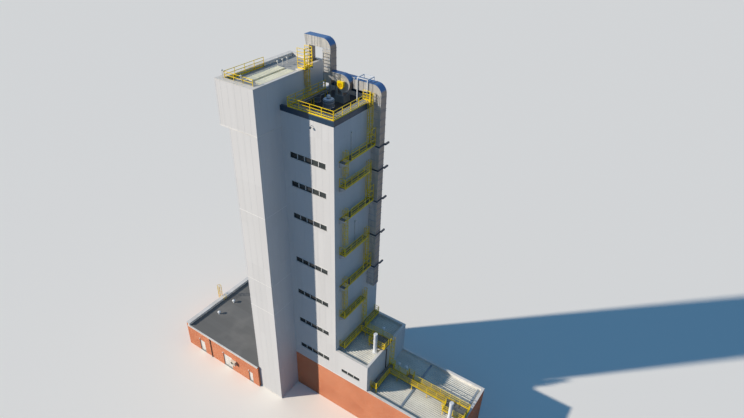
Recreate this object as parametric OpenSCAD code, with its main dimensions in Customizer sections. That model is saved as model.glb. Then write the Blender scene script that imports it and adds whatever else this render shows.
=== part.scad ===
// Clad process tower building with outside ladders, roof plant and low side blocks.
// One half of real size, in millimetres, +Z up, ground at z = 0.
// The origin is on the ground at the centre of the front part of the shaft.

/* [Shaft] */
// Width of the shaft
shaft_w = 2100; // [1900:50:2400]
// Depth of the front part of the shaft
shaft_d = 3950; // [3600:50:4200]
// Depth of the rear part of the shaft
shaft_rear_d = 2135; // [1900:5:2400]
// How far the rear part's right face is set back
shaft_setback = 250; // [200:10:350]
// How far the shaft's walls rise above the main block's
shaft_rise = 1720; // [1500:20:2000]
// Height of the head
head_h = 2700; // [2000:50:3200]
// How far the head overhangs to the left
head_out = 700; // [400:50:1000]
// Depth of the roof below the top of the shaft's walls
shaft_roof_drop = 170; // [120:10:250]
// Heights of the joints between wall panels
panel_joint_z = [8575, 11010, 16380];
// Height of a panel joint
panel_joint_h = 24; // [16:4:40]
// Depth of a panel joint
panel_joint_deep = 10; // [5:1:20]
// Width of the kerbs along the roof's front and left edges
kerb_w = 340; // [300:10:400]
// Height of a raised roof strip
roof_strip_t = 100; // [60:10:120]

/* [Main block] */
// Width of the main block
main_w = 3690; // [3400:10:4000]
// Depth of the main block
main_d = 4975; // [4850:5:5300]
// How far its front wall is set back from the shaft's front
main_setback = 1920; // [1700:10:2100]
// Height of its walls
main_h = 22680; // [22500:20:23000]
// Depth of its roof below the top of the walls
main_roof_drop = 280; // [200:10:350]
// Height of the fascia above the walls
fascia_h = 310; // [250:10:400]
// How far the fascia stands proud of the walls
fascia_out = 25; // [15:5:40]

/* [Window strips] */
// Distance from the shaft to the first window
strip_x = 550; // [400:10:700]
// Width of a window strip on the main block
strip_w = 2550; // [2200:10:2800]
// Height of a window strip
strip_h = 380; // [300:10:450]
// Sill heights of the strips on the main block, as far as its walls go
sill_levels = [4400, 6920, 9565, 12335, 15745, 18020, 19930];
// Width of the window strip on the step block
step_strip_w = 1530; // [1200:10:1800]
// Distance from the main block to the step block's window strip
step_strip_x = 500; // [400:10:700]
// Sill height of the step block's window strip
step_sill_z = 4040; // [3900:10:4300]
// Height of the step block's window strip
step_strip_h = 320; // [260:10:400]
// Width of a window bar
window_bar = 45; // [30:5:70]
// Depth of a window frame
window_frame_t = 40; // [30:5:60]
// How far a window frame lies behind the wall's face
window_reveal = 20; // [10:5:40]
// Thickness of a sheet of glass
glass_t = 12; // [8:1:20]

/* [Low blocks] */
// Width of the step block
step_w = 2660; // [2400:10:2900]
// Height of the step block's walls
step_h = 5810; // [5700:10:5850]
// Width of the hall
hall_w = 6640; // [6000:20:7500]
// Height of the hall's walls
hall_h = 3430; // [3350:10:3500]
// Depth of the low roofs below their walls
low_roof_drop = 230; // [180:10:260]
// Distance from the step block to the first roof rib
rib_x1 = 2440; // [2000:20:3000]
// Distance from the step block to the second roof rib
rib_x2 = 6220; // [5600:20:6220]
// Width of a roof rib
rib_w = 130; // [100:10:200]
// Height of a roof rib
rib_h = 60; // [40:10:100]

/* [Annex] */
// Width of the annex
annex_w = 7800; // [7700:10:8500]
// Height of the annex's walls
annex_h = 2090; // [1950:10:2300]
// How far the annex stands proud of the shaft's front
annex_out = 180; // [120:10:260]
// Thickness of the annex's roof
annex_roof_t = 60; // [40:5:100]
// Overhang of the annex's roof at the front
eave_out = 45; // [30:5:80]
// Height of the annex's end parapet above the roof
end_parapet_h = 200; // [100:10:300]
// Width of the annex's end parapet
end_parapet_w = 330; // [200:10:400]

/* [Doors] */
// Distance from the shaft to the right edge of each doorway
door_x = [5910, 2850, 630];
// Width of each doorway
door_w = [600, 950, 430];
// Height of each doorway
door_h = [1210, 1320, 1110];
// Thickness of a door leaf
leaf_t = 35; // [25:5:50]
// Gap round a door leaf
leaf_gap = 8; // [8:1:12]
// Gap between the leaves of the double door
meet_gap = 11; // [11:1:16]
// Width of a door frame's members
frame_w = 28; // [20:2:40]
// Depth of a door frame
frame_t = 70; // [60:5:90]
// How far a door frame lies behind the wall's face
frame_reveal = 45; // [30:5:60]
// Radius of a hinge knuckle
knuckle_r = 3.5; // [3:0.5:4]
// Height of a hinge knuckle
knuckle_h = 50; // [30:5:70]
// Play between two knuckles of a hinge
knuckle_play = 0.3; // [0.2:0.1:0.5]

/* [Walls and floors] */
// Thickness of a wall
wall_t = 150; // [120:10:180]
// Thickness of a floor or roof slab
slab_t = 100; // [80:10:140]
// Distance from a window sill down to the floor
sill_above_floor = 650; // [500:10:800]
// Thickness of a ground floor slab
ground_t = 40; // [30:5:60]
// Thickness of a parapet cap
cap_t = 30; // [20:5:50]
// Overhang of a parapet cap
cap_out = 15; // [10:1:25]

/* [Walkways] */
// Levels of the wall platforms, from the lowest up, as far as the walls go
deck_levels = [5985, 8810, 11410, 14040, 16660, 18865, 20460];
// Width of a platform or catwalk
deck_w = 460; // [440:5:560]
// Thickness of a deck
deck_t = 50; // [40:5:70]
// Width of a platform's edge beam
beam_w = 45; // [40:1:48]
// Distance from the front wall to a platform's front end
deck_front = 425; // [350:5:500]
// Length of a platform whose ladder hangs behind it
short_deck_l = 2500; // [2400:10:2600]
// Length of a platform that both ladders meet
long_deck_l = 2975; // [2900:5:3100]
// Height of the hall's catwalk above its roof
catwalk_rise = 450; // [400:10:500]
// Distance from the front wall to the branch walkway over the step block
branch_at = 2470; // [2440:5:2500]
// Width of the branch walkway
branch_w = 440; // [400:10:480]
// How far the branch walkway reaches past the step block
branch_past = 120; // [30:10:400]
// Distance from the main block to the platform beside the branch walkway
side_x = 1460; // [1300:10:1700]
// Depth of that platform
side_d = 595; // [450:5:640]
// Distance from the step block to the low platform
low_deck_gap = 30; // [20:5:60]
// Width of the low platform
low_deck_w = 500; // [440:10:700]
// Distance from the step block to the bay behind the hall's catwalk
bay_x = 1680; // [1500:20:1800]
// Width of that bay
bay_w = 480; // [400:10:560]
// Depth of that bay
bay_d = 280; // [240:10:360]
// Width of the roof walkway
walk_w = 560; // [450:10:700]
// How far the roof walkway stands proud of the wall
walk_out = 40; // [30:5:60]
// Distance from the shaft to the left end of the roof walkway
walk_start = 560; // [500:10:640]
// Width of the roof walkway's left leg
left_walk_w = 260; // [220:10:280]
// Length of the roof walkway's left leg
left_walk_l = 2840; // [2600:20:2860]
// Distance from the front wall to the hall's catwalk
hall_walk_y = 2115; // [2000:5:2200]
// Width of the hall's catwalk
hall_walk_w = 500; // [440:10:560]
// Length of the platform beside the hall's catwalk
side_deck_l = 1550; // [1300:10:1700]
// Depth of that platform
side_deck_d = 590; // [500:10:650]
// Height of a guard rail
rail_h = 560; // [500:10:600]
// Side of a rail bar
rail_bar = 26; // [20:1:34]
// Widest spacing of rail posts
post_step = 800; // [600:20:1200]
// Height of a toe board
toe_h = 75; // [50:5:100]

/* [Ladders] */
// Distance from the wall to a ladder's rungs
ladder_off = 100; // [90:5:120]
// Width of a ladder
ladder_w = 230; // [200:5:260]
// Spacing of the rungs
rung_step = 150; // [125:5:175]
// Radius of a ladder cage
cage_r = 165; // [155:1:170]
// Spacing of the cage's hoops
hoop_step = 400; // [300:20:600]
// Side of a ladder's bars
ladder_bar = 22; // [16:1:28]
// Distance from the front wall to the front row of ladders
front_ladder_y = 795; // [750:5:830]
// Distance from the front wall to the rear row of ladders
rear_ladder_y = 3130; // [3120:5:3180]
// Distance from the shaft's step to the roof ladder
roof_ladder_y = 450; // [430:5:480]
// Distance from the annex's front to the ladder on its left wall
annex_ladder_y = 3860; // [3600:20:4100]
// How far the annex ladder's stiles rise above the parapet
annex_ladder_rise = 1000; // [600:20:1100]
// Distance from the branch walkway's end to its ladder
branch_ladder_off = 60; // [55:5:90]
// Distance from the wall to the roof ladder
roof_ladder_off = 75; // [70:1:80]
// How far the landing at the roof ladder's top reaches out
landing_out = 405; // [404:1:430]
// Height of the guard round the roof ladder's top
landing_guard_h = 1150; // [1000:10:1200]

/* [Ducts] */
// Side of the ducts' square section
duct_w = 560; // [480:10:620]
// Top of the duct arch above the shaft's walls
arch_rise = 1540; // [1400:20:1800]
// Distance from the shaft's right face to the arch's right leg
arch_leg_x = 330; // [320:10:500]
// Width of the arch's left leg
arch_left_w = 230; // [180:10:300]
// Distance from the shaft's right face back to the left leg
arch_left_x = 890; // [800:10:1000]
// Distance from the shaft's rear wall to the duct arch
arch_rear_gap = 30; // [20:5:60]
// Distance from the long platforms to the duct riser
riser_gap = 210; // [190:5:260]
// Height of the duct riser's foot
riser_foot_z = 9450; // [8950:50:11000]
// Height of the roof duct above the roof
roof_duct_z = 1000; // [900:10:1200]
// Thickness of a duct's flange
flange_t = 30; // [20:5:50]
// How far a duct's flange stands out
flange_out = 20; // [15:5:40]

/* [Roof plant] */
// Side of the fan's plinth
plinth_w = 640; // [600:10:700]
// Height of the fan's plinth
plinth_h = 430; // [400:10:460]
// Distance from the shaft's right face to the plinth
plinth_x = 1180; // [1150:10:1220]
// Distance from the front wall to the plinth
plinth_y = 3400; // [3360:10:3420]
// Distance from the shaft's right face to the fan's axis
fan_axis_x = 1710; // [1690:10:1740]
// Radius of the fan's scroll at its narrowest
fan_r = 385; // [360:5:400]
// Growth of the scroll's radius over three quarters of a turn
scroll_growth = 205; // [160:5:220]
// Width of the fan's scroll
fan_w = 420; // [380:10:460]
// Height of the fan's outlet
outlet_h = 480; // [400:10:500]
// Width of the duct frame
portal_w = 740; // [700:10:800]
// Clearance between the duct frame and the duct
portal_gap = 15; // [10:1:25]
// Distance from the duct frame to the main block's right face
portal_x = 310; // [280:10:360]
// Height of the duct frame above the roof
portal_h = 1760; // [1650:10:1900]
// Side of the duct frame's members
portal_bar = 50; // [40:5:55]

/* [Pipes and lamps] */
// Distance from the shaft to the annex's downpipe
annex_pipe_x = 5160; // [4900:20:5400]
// Distance from the front wall to the pipe on the step block's right wall
step_pipe_y = 2340; // [2100:20:2360]
// Height of the lamps on the shaft's roof
post_lamp_h = 300; // [200:20:400]
// Height of the lamps on the head's kerb
kerb_lamp_h = 380; // [300:20:460]

/* [Chimneys and vents] */
// Radius of a chimney
chimney_r = 130; // [90:5:160]
// Height of each chimney above its roof
chimney_h = [1760, 2040];
// Place of the step block's chimney from the main block and the front wall
step_chimney_at = [2150, 1680];
// Place of the hall's chimney from the hall's right face and the front wall
hall_chimney_at = [900, 1260];
// Radius of the round roof fan's base
round_fan_r = 330; // [250:10:400]
// Height of the round roof fan's base
round_fan_h = 430; // [350:10:500]
// Place of the round roof fan from the shaft and the front wall
round_fan_at = [1410, 2530];
// Radius of the small roof fan
small_fan_r = 190; // [150:10:200]
// Height of the small roof fan's base
small_fan_h = 480; // [360:10:490]
// Place of the small roof fan from the shaft and the front wall
small_fan_at = [420, 2750];
// Place of the mast from the shaft and the front wall
mast_at = [130, 1980];
// Radius of a mushroom vent's pipe
vent_r = 70; // [50:5:100]
// Place of the step block's vent from the main block and the front wall
step_vent_at = [1780, 3300];
// Height of the step block's vent
step_vent_h = 720; // [600:20:800]
// Height of the hall's vents
hall_vent_h = 340; // [300:20:440]
// Places of the hall's vents from the step block and the front wall
hall_vent_at = [[600, 3330], [1190, 3370]];
// Places of the annex's vents from the shaft and the annex's front
annex_vent_at = [[6560, 4000], [6540, 2330]];

/* [Hidden] */

$fn = 48;
eps = 1;
play = 2;
clad = "#dddad4";
orange = "#d9855c";
yellow = "#e6c010";
steel = "#c9cbc8";
navy = "#14324f";
blue = "#0b5a9e";
dark = "#5f6162";

shaft_h = main_h + shaft_rise;
shaft_left = -shaft_w / 2;
shaft_right = shaft_w / 2;
shaft_front = -shaft_d / 2;
shaft_step = shaft_d / 2;
shaft_rear = shaft_step + shaft_rear_d;
rear_part_right = shaft_right - shaft_setback;
head_left = shaft_left - head_out;
head_z = shaft_h - head_h;
shaft_roof_z = shaft_h - shaft_roof_drop;

main_front = shaft_front + main_setback;
main_right = shaft_right + main_w;
main_rear = main_front + main_d;
main_roof_z = main_h - main_roof_drop;
sill_z = [for (z = sill_levels) if (z + strip_h < main_roof_z - slab_t) z];
deck_z = [for (z = deck_levels) if (z + 2 * rail_h < main_h) z];
last_deck = len(deck_z) - 1;
fascia_z = main_h + fascia_h;
walk_z = fascia_z + deck_t;

step_right = main_right + step_w;
step_roof_z = step_h - low_roof_drop;
hall_right = step_right + hall_w;
hall_roof_z = hall_h - low_roof_drop;
strip_left = shaft_right + strip_x;
step_strip_left = main_right + step_strip_x;

annex_left = shaft_left - annex_w;
annex_front = shaft_front - annex_out;
annex_rear = main_rear;
annex_roof_z = annex_h + annex_roof_t;

function door_right(i) = shaft_left - door_x[i];
function door_left(i) = door_right(i) - door_w[i];
frame_y = annex_front + frame_reveal;
leaf_y = frame_y + 12;
pivot_off = leaf_gap / 2;
pivot_y = leaf_y - 8;

arch_y = shaft_rear - wall_t - arch_rear_gap - duct_w;
arch_top = shaft_h + arch_rise;
arch_x = shaft_right + arch_leg_x;
riser_front = main_front + deck_front + long_deck_l + riser_gap;
riser_x = main_right + fascia_out;
roof_duct_z0 = main_roof_z + roof_duct_z;
ladder_x = main_right + ladder_off;
fan_x = shaft_right + fan_axis_x;
fan_y = main_front + plinth_y + 30;
fan_z = main_roof_z + plinth_h + fan_r + scroll_growth / 3 + 250;
function scroll_r(turn) = fan_r + scroll_growth * turn / 270;
outlet_top = fan_z + scroll_r(270);
outlet_end = fan_x - fan_r - 170;
inlet_end = fan_x + 640;

catwalk_z = hall_roof_z + catwalk_rise;
branch_y = main_front + branch_at;
branch_end = step_right + branch_past;
low_deck_x = step_right + low_deck_gap;
hall_deck_x = low_deck_x + low_deck_w;
hall_deck_y = main_front + hall_walk_y;
hall_deck_end = hall_right - 60;
side_deck_x = hall_deck_end - side_deck_l;
branch_side_x = main_right + side_x;
branch_side_y = branch_y - side_d;
bay_x0 = step_right + bay_x;
bay_y1 = hall_deck_y + hall_walk_w + play + bay_d;
end_top = annex_roof_z + end_parapet_h;
roof_ladder = [rear_part_right + roof_ladder_off, shaft_step + roof_ladder_y];
landing_z = shaft_h + cap_t;
kerb_inner = kerb_w - cap_out;

// A box between two corners
module block(a, b) {
    translate(a) cube(b - a);
}

// An upright slab with an outline in X and Y
module slab(outline, z0, z1) {
    translate([0, 0, z0]) linear_extrude(z1 - z0) polygon(outline);
}

// One straight, flat run of guard rail from a to b at height z: posts, rows of rails, a toe board
module rail_run(a, b, z, h = rail_h, rows = 3) {
    span = norm(b - a);
    turn = atan2(b[1] - a[1], b[0] - a[0]);
    bays = max(1, ceil(span / post_step));
    translate([a[0], a[1], z]) rotate([0, 0, turn]) {
        for (i = [0 : bays])
            translate([i * (span - rail_bar) / bays, -rail_bar / 2, 0]) cube([rail_bar, rail_bar, h]);
        for (k = [1 : rows])
            translate([0, -rail_bar / 2, h * k / rows - rail_bar]) cube([span, rail_bar, rail_bar]);
        translate([0, -rail_bar / 4, 0]) cube([span, rail_bar / 2, toe_h]);
    }
}

// A cap over a wall's top, from corner a to corner b of the wall
module cap(a, b, z) {
    block([a[0], a[1], z], [b[0], b[1], z + cap_t]);
}

// Shaft

module shaft_front_wall() {
    color(clad) difference() {
        block([shaft_left, shaft_front, 0], [shaft_right, shaft_front + wall_t, head_z]);
        for (z = panel_joint_z)
            block([shaft_left - eps, shaft_front - eps, z],
                [shaft_right + eps, shaft_front + panel_joint_deep, z + panel_joint_h]);
    }
}

// The left wall, the right wall of the front part and the right wall of the rear part
module shaft_side_walls() {
    color(clad) {
        difference() {
            block([shaft_left, shaft_front + wall_t, 0],
                [shaft_left + wall_t, shaft_rear - wall_t, head_z]);
            for (z = panel_joint_z)
                block([shaft_left - eps, shaft_front, z],
                    [shaft_left + panel_joint_deep, shaft_rear, z + panel_joint_h]);
        }
        difference() {
            block([shaft_right - wall_t, shaft_front + wall_t, 0], [shaft_right, shaft_step, shaft_h]);
            for (z = panel_joint_z)
                block([shaft_right - panel_joint_deep, shaft_front, z],
                    [shaft_right + eps, main_front, z + panel_joint_h]);
        }
        block([rear_part_right - wall_t, shaft_step, 0],
            [rear_part_right, shaft_rear - wall_t, shaft_h]);
    }
}

// The return where the rear part is set back, and the rear wall
module shaft_cross_walls() {
    color(clad) {
        block([rear_part_right - wall_t, shaft_step - wall_t, 0],
            [shaft_right - wall_t, shaft_step, shaft_h]);
        block([shaft_left, shaft_rear - wall_t, 0], [rear_part_right, shaft_rear, head_z]);
    }
}

module head_cross_walls() {
    color(clad) {
        block([head_left, shaft_front, head_z], [shaft_right, shaft_front + wall_t, shaft_h]);
        block([head_left, shaft_rear - wall_t, head_z], [rear_part_right, shaft_rear, shaft_h]);
    }
}

module head_side_walls() {
    color(clad) block([head_left, shaft_front + wall_t, head_z],
        [head_left + wall_t, shaft_rear - wall_t, shaft_h]);
}

// The roofs of the front and rear parts, the overhang's floor and the ledge that the roof ladder
// stands on
module shaft_roof() {
    color(steel) {
        block([head_left + wall_t, shaft_front + wall_t, shaft_roof_z - slab_t],
            [shaft_right - wall_t, shaft_step - wall_t, shaft_roof_z]);
        block([head_left + wall_t, shaft_step - wall_t + play, shaft_roof_z - slab_t],
            [rear_part_right - wall_t, shaft_rear - wall_t, shaft_roof_z]);
        block([head_left + wall_t, shaft_front + wall_t, head_z],
            [shaft_left, shaft_rear - wall_t, head_z + slab_t]);
        block([rear_part_right, shaft_step, main_roof_z - slab_t],
            [shaft_right, main_rear - wall_t, main_roof_z]);
    }
}

// A raised roof strip with a rounded front end and ribs across it
module roof_strip(x0, x1, y0, y1) {
    round_r = (x1 - x0) / 4;
    translate([0, 0, shaft_roof_z]) {
        linear_extrude(roof_strip_t) union() {
            translate([x0, y0 + round_r]) square([x1 - x0, y1 - y0 - round_r]);
            translate([x0 + round_r, y0]) square([x1 - x0 - 2 * round_r, round_r + eps]);
            for (x = [x0 + round_r, x1 - round_r]) translate([x, y0 + round_r]) circle(r = round_r);
        }
        for (y = [y0 + 3 * round_r : 180 : y1 - 40])
            block([x0 + 20, y, roof_strip_t - eps], [x1 - 20, y + 40, roof_strip_t + 12]);
    }
}

// Two strips, and the upstand of the gutter along the right wall
module shaft_roof_strips() {
    color("#cfcaa8") {
        roof_strip(shaft_left + 330, shaft_left + 940, shaft_front + 1230, shaft_step - 200);
        roof_strip(shaft_left + 1130, shaft_left + 1740, shaft_front + 1100, shaft_step - 200);
        block([shaft_right - wall_t - 130, shaft_front + kerb_w + 60, shaft_roof_z],
            [shaft_right - wall_t - 100, shaft_step - wall_t - 60, shaft_h]);
    }
}

// Guard rails on the shaft's roof, round the roof ladder's top and round the roof walkway
module roof_rails() {
    front_y = shaft_front + kerb_w + 30;
    left_x = head_left + kerb_w + 30;
    walk_left = shaft_right + walk_start + rail_bar / 2;
    edge = main_right + walk_out - rail_bar / 2;
    walk_front = main_front - walk_out + rail_bar / 2;
    walk_rear = main_front + deck_front + long_deck_l - rail_bar / 2;
    gate_y = main_front + rear_ladder_y;
    half_gate = ladder_w / 2 + 30;
    clear = rail_bar / 2 + play;
    guard_x0 = rear_part_right - wall_t;
    guard_x1 = rear_part_right + landing_out - rail_bar / 2;
    guard_y0 = shaft_step + cap_out + clear;
    guard_y1 = landing_y1 - rail_bar / 2;
    guard_rows = 6;
    color(yellow) {
        rail_run([left_x + clear, front_y], [shaft_right - 330, front_y], shaft_roof_z);
        rail_run([left_x, front_y], [left_x, shaft_step - 550], shaft_roof_z);
        rail_run([guard_x0, guard_y0], [guard_x1 - clear, guard_y0], landing_z, landing_guard_h, guard_rows);
        rail_run([guard_x1, guard_y0], [guard_x1, guard_y1], landing_z, landing_guard_h, guard_rows);
        rail_run([guard_x0, guard_y1], [guard_x1 - clear, guard_y1], landing_z, landing_guard_h, guard_rows);
        rail_run([walk_left + clear, walk_front], [edge - clear, walk_front], walk_z);
        rail_run([edge, walk_front], [edge, gate_y - half_gate], walk_z);
        rail_run([walk_left, walk_front], [walk_left, walk_front + walk_w + left_walk_l - rail_bar], walk_z);
        rail_run([edge, gate_y + half_gate], [edge, walk_rear], walk_z);
        rail_run([edge - walk_w + rail_bar, walk_rear], [edge - clear, walk_rear], walk_z);
    }
}

// Main block

module main_front_wall() {
    color(clad) difference() {
        block([shaft_right, main_front, hall_h], [main_right, main_front + wall_t, main_h]);
        for (z = sill_z)
            block([strip_left, main_front - eps, z],
                [strip_left + strip_w, main_front + wall_t + eps, z + strip_h]);
    }
}

// The right wall, the thick wall towards the shaft's rear part and the parapet behind the shaft
module main_side_walls() {
    color(clad) {
        block([main_right - wall_t, main_front + wall_t, 0], [main_right, main_rear - wall_t, main_h]);
        block([rear_part_right, shaft_step, 0], [shaft_right, main_rear - wall_t, main_roof_z - slab_t]);
        block([rear_part_right, shaft_rear, main_roof_z],
            [rear_part_right + wall_t, main_rear - wall_t, main_h]);
    }
}

module main_rear_wall() {
    color(clad) block([rear_part_right, main_rear - wall_t, hall_h], [main_right, main_rear, main_h]);
}

module main_floors() {
    color("#9a9a98") for (z = sill_z)
        block([shaft_right, main_front + wall_t, z - sill_above_floor - slab_t],
            [main_right - wall_t, main_rear - wall_t, z - sill_above_floor]);
}

module main_roof() {
    color(dark) block([shaft_right, main_front + wall_t, main_roof_z - slab_t],
        [main_right - wall_t, main_rear - wall_t, main_roof_z]);
}

// The outer frame of a window strip, seen from -Y, with its lower left corner at the origin
module strip_frame(w, h) {
    difference() {
        cube([w, window_frame_t, h]);
        translate([window_bar, -eps, window_bar])
            cube([w - 2 * window_bar, window_frame_t + 2 * eps, h - 2 * window_bar]);
    }
}

module window_frames() {
    frame_front = main_front + window_reveal;
    color("#e4e3de") {
        for (z = sill_z)
            translate([strip_left, frame_front, z]) strip_frame(strip_w, strip_h);
        translate([step_strip_left, frame_front, step_sill_z]) strip_frame(step_strip_w, step_strip_h);
    }
}

module window_glass() {
    glass_y = main_front + window_reveal + window_frame_t;
    color([0.15, 0.2, 0.22, 0.5]) {
        for (z = sill_z)
            block([strip_left, glass_y, z], [strip_left + strip_w, glass_y + glass_t, z + strip_h]);
        block([step_strip_left, glass_y, step_sill_z],
            [step_strip_left + step_strip_w, glass_y + glass_t, step_sill_z + step_strip_h]);
    }
}

// Dark fascia on the main block's walls: front, right and rear panels
module roof_fascia() {
    x0 = shaft_right + play;
    out = fascia_out;
    color(navy) {
        block([x0, main_front - out, main_h], [main_right + out, main_front + wall_t, fascia_z]);
        block([main_right - wall_t, main_front + wall_t + play, main_h],
            [main_right + out, main_rear - wall_t - play, fascia_z]);
        block([rear_part_right - out, main_rear - wall_t, main_h],
            [main_right + out, main_rear + out, fascia_z]);
    }
}

// The walkway on the fascia: a front leg, a right leg and a narrow left leg
module roof_walkway() {
    x0 = shaft_right + walk_start;
    outer_x = main_right + walk_out;
    outer_y = main_front - walk_out;
    rear_y = main_front + deck_front + long_deck_l;
    color(steel) {
        block([x0, outer_y, fascia_z], [outer_x, outer_y + walk_w, walk_z]);
        block([outer_x - walk_w, outer_y + walk_w + play, fascia_z], [outer_x, rear_y, walk_z]);
        block([x0, outer_y + walk_w + play, fascia_z],
            [x0 + left_walk_w, outer_y + walk_w + left_walk_l, walk_z]);
    }
}

// Platforms on the main block's right wall. From the highest down, every second one carries a
// ladder of the rear row and reaches back to it, and so does the lowest

function rear_ladder(i) = (last_deck - i) % 2 == 0;
function deck_len(i) = i == 0 ? main_d - deck_front - wall_t - 60
    : (rear_ladder(i) ? long_deck_l : short_deck_l);
function has_hole(i) = i > 0 && rear_ladder(i);
deck_y0 = main_front + deck_front;
deck_x1 = main_right + deck_w;

hole_y0 = main_front + front_ladder_y - 190;
hole_y1 = main_front + front_ladder_y + 190;
landing_x = rear_part_right + cap_out;
landing_y0 = shaft_step + 245;
landing_y1 = shaft_step + roof_ladder_y + 255;

// The gratings of platform i, which leave a hole where a ladder comes up through it
module deck(i) {
    z = deck_z[i];
    x0 = main_right + beam_w;
    x1 = deck_x1 - beam_w;
    y1 = deck_y0 + deck_len(i);
    if (has_hole(i)) {
        block([x0, deck_y0, z - deck_t], [x1, hole_y0, z]);
        block([x0, hole_y1, z - deck_t], [x1, y1, z]);
    } else {
        block([x0, deck_y0, z - deck_t], [x1, y1, z]);
    }
}

// The wall platforms, the low platform by the step block's right wall, and the two plates of the
// landing at the top of the roof ladder
module platform_decks() {
    color(steel) {
        for (i = [0 : len(deck_z) - 1]) deck(i);
        block([low_deck_x, deck_y0 - 20, catwalk_z - deck_t], [hall_deck_x, branch_y + branch_w, catwalk_z]);
        block([landing_x, shaft_step + cap_out, landing_z - deck_t],
            [rear_part_right + landing_out, landing_y0, landing_z]);
        block([landing_x, landing_y1 - 70, landing_z - deck_t],
            [rear_part_right + landing_out, landing_y1, landing_z]);
    }
}

// Beams along the wall and along the outer edge of each wall platform
module platform_beams() {
    color("#c3c9cf") for (i = [0 : len(deck_z) - 1], x = [main_right, deck_x1 - beam_w])
        block([x, deck_y0, deck_z[i] - deck_t], [x + beam_w, deck_y0 + deck_len(i), deck_z[i]]);
}

// Tapered brackets under both ends of each platform
module platform_brackets() {
    color("#c3c9cf") for (i = [0 : len(deck_z) - 1], y = [deck_y0, deck_y0 + deck_len(i) - 50])
        translate([0, y + 50, deck_z[i] - deck_t]) rotate([90, 0, 0]) linear_extrude(50)
            polygon([[main_right, 0], [deck_x1, 0], [deck_x1, -60], [main_right, -330]]);
}

module platform_rail(i) {
    z = deck_z[i];
    edge = deck_x1 - rail_bar / 2;
    front_y = deck_y0 + rail_bar / 2;
    rear_y = deck_y0 + deck_len(i) - rail_bar / 2;
    inner_x = main_right + rail_bar;
    inner_end = edge - rail_bar / 2 - play;
    if (i == 0) {
        rail_run([inner_x, front_y], [inner_end, front_y], z);
        rail_run([edge, front_y], [edge, branch_y], z);
        rail_run([edge, branch_y + branch_w], [edge, rear_y], z);
        rail_run([inner_x, rear_y], [inner_end, rear_y], z);
    } else if (has_hole(i)) {
        rail_run([edge, main_front + front_ladder_y + 220], [edge, rear_y - 900 - play], z);
        rail_run([inner_x, rear_y], [inner_end, rear_y], z);
        rail_run([edge, rear_y - 900], [edge, rear_y], z, 2 * rail_h);
    } else {
        rail_run([inner_x, front_y], [inner_end, front_y], z);
        rail_run([edge, front_y], [edge, rear_y], z);
    }
}

module platform_rails() {
    color(yellow) for (i = [0 : len(deck_z) - 1]) platform_rail(i);
}

// Ladders. Each place holds the foot [x, y], the foot's height, the height it climbs to, the way
// its cage faces and how far its stiles rise past the top: between each pair of platforms, up to
// the roof walkway, up to the shaft's roof, from the low platform up to the branch walkway, and
// up the annex's left wall, with a plain one down to its roof

ladder_at = concat(
    [for (i = [0 : last_deck]) [ladder_x,
        main_front + (rear_ladder(i) ? rear_ladder_y : front_ladder_y),
        deck_z[i], i == last_deck ? walk_z : deck_z[i + 1], 0, rail_h]],
    [[roof_ladder[0], roof_ladder[1], main_roof_z, landing_z, 0, rail_h],
     [branch_end + branch_ladder_off, branch_y + branch_w / 2, catwalk_z, deck_z[0], 0, rail_h],
     [annex_left - ladder_off, annex_front + annex_ladder_y, 0, end_top + cap_t, 180,
        annex_ladder_rise]]);
plain_ladder_at = [annex_left + end_parapet_w + ladder_bar, annex_front + annex_ladder_y, annex_roof_z,
    end_top + cap_t, 0, rail_h / 2];
cage_off = cage_r - 30;
cage_from = 1.2 * rail_h;

module ladders() {
    color(yellow) for (p = concat(ladder_at, [plain_ladder_at]))
            translate([p[0], p[1], p[2]]) rotate([0, 0, p[4]]) {
        top = p[3] - p[2] + p[5];
        for (side = [-1, 1])
            translate([-ladder_bar / 2, side * ladder_w / 2 - ladder_bar / 2, 0])
                cube([ladder_bar, ladder_bar, top]);
        for (z = [rung_step : rung_step : p[3] - p[2] + 1])
            translate([-ladder_bar / 4, -ladder_w / 2, z]) cube([ladder_bar / 2, ladder_w, ladder_bar / 2]);
        if (p[4] > 0) for (side = [-1, 1], part = [0.2, 0.8])
            translate([-ladder_off, side * ladder_w / 2 - ladder_bar / 2, part * annex_h])
                cube([ladder_off, ladder_bar, ladder_bar]);
    }
}

module cage_straps() {
    color(yellow) for (p = ladder_at)
        translate([p[0], p[1], p[2] + cage_from]) rotate([0, 0, p[4]]) translate([cage_off, 0, 0])
            for (turn = [-90, -45, 0, 45, 90]) rotate([0, 0, turn])
                translate([cage_r - ladder_bar, -ladder_bar / 2, 0])
                    cube([ladder_bar / 2 - 0.5, ladder_bar, p[3] - p[2] + p[5] - cage_from]);
}

module cage_hoops() {
    color(yellow) for (p = ladder_at) {
        rise = p[3] - p[2] + p[5] - cage_from - ladder_bar;
        hoops = max(1, round(rise / hoop_step));
        for (i = [0 : hoops])
            translate([p[0], p[1], p[2] + cage_from + i * rise / hoops]) rotate([0, 0, p[4]]) hoop();
    }
}

// One hoop of a cage, open towards the rungs and tied to the ladder's stiles
module hoop() {
    difference() {
        translate([cage_off, 0, 0]) cylinder(r = cage_r, h = ladder_bar);
        translate([cage_off, 0, -eps]) cylinder(r = cage_r - ladder_bar / 2, h = ladder_bar + 2 * eps);
        translate([cage_off - cage_r - eps, -cage_r, -eps])
            cube([30 + ladder_bar / 2 + eps, 2 * cage_r, ladder_bar + 2 * eps]);
    }
    for (side = [-1, 1]) mirror([0, side < 0 ? 1 : 0, 0])
        translate([ladder_bar / 2, ladder_w / 2 - ladder_bar / 2, 0])
            cube([ladder_bar / 2, cage_r * 0.9 - ladder_w / 2, ladder_bar]);
}

// Ducts

module flange_ring(a, b, z) {
    block([a[0] - flange_out, a[1] - flange_out, z], [b[0] + flange_out, b[1] + flange_out, z + flange_t]);
}

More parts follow.
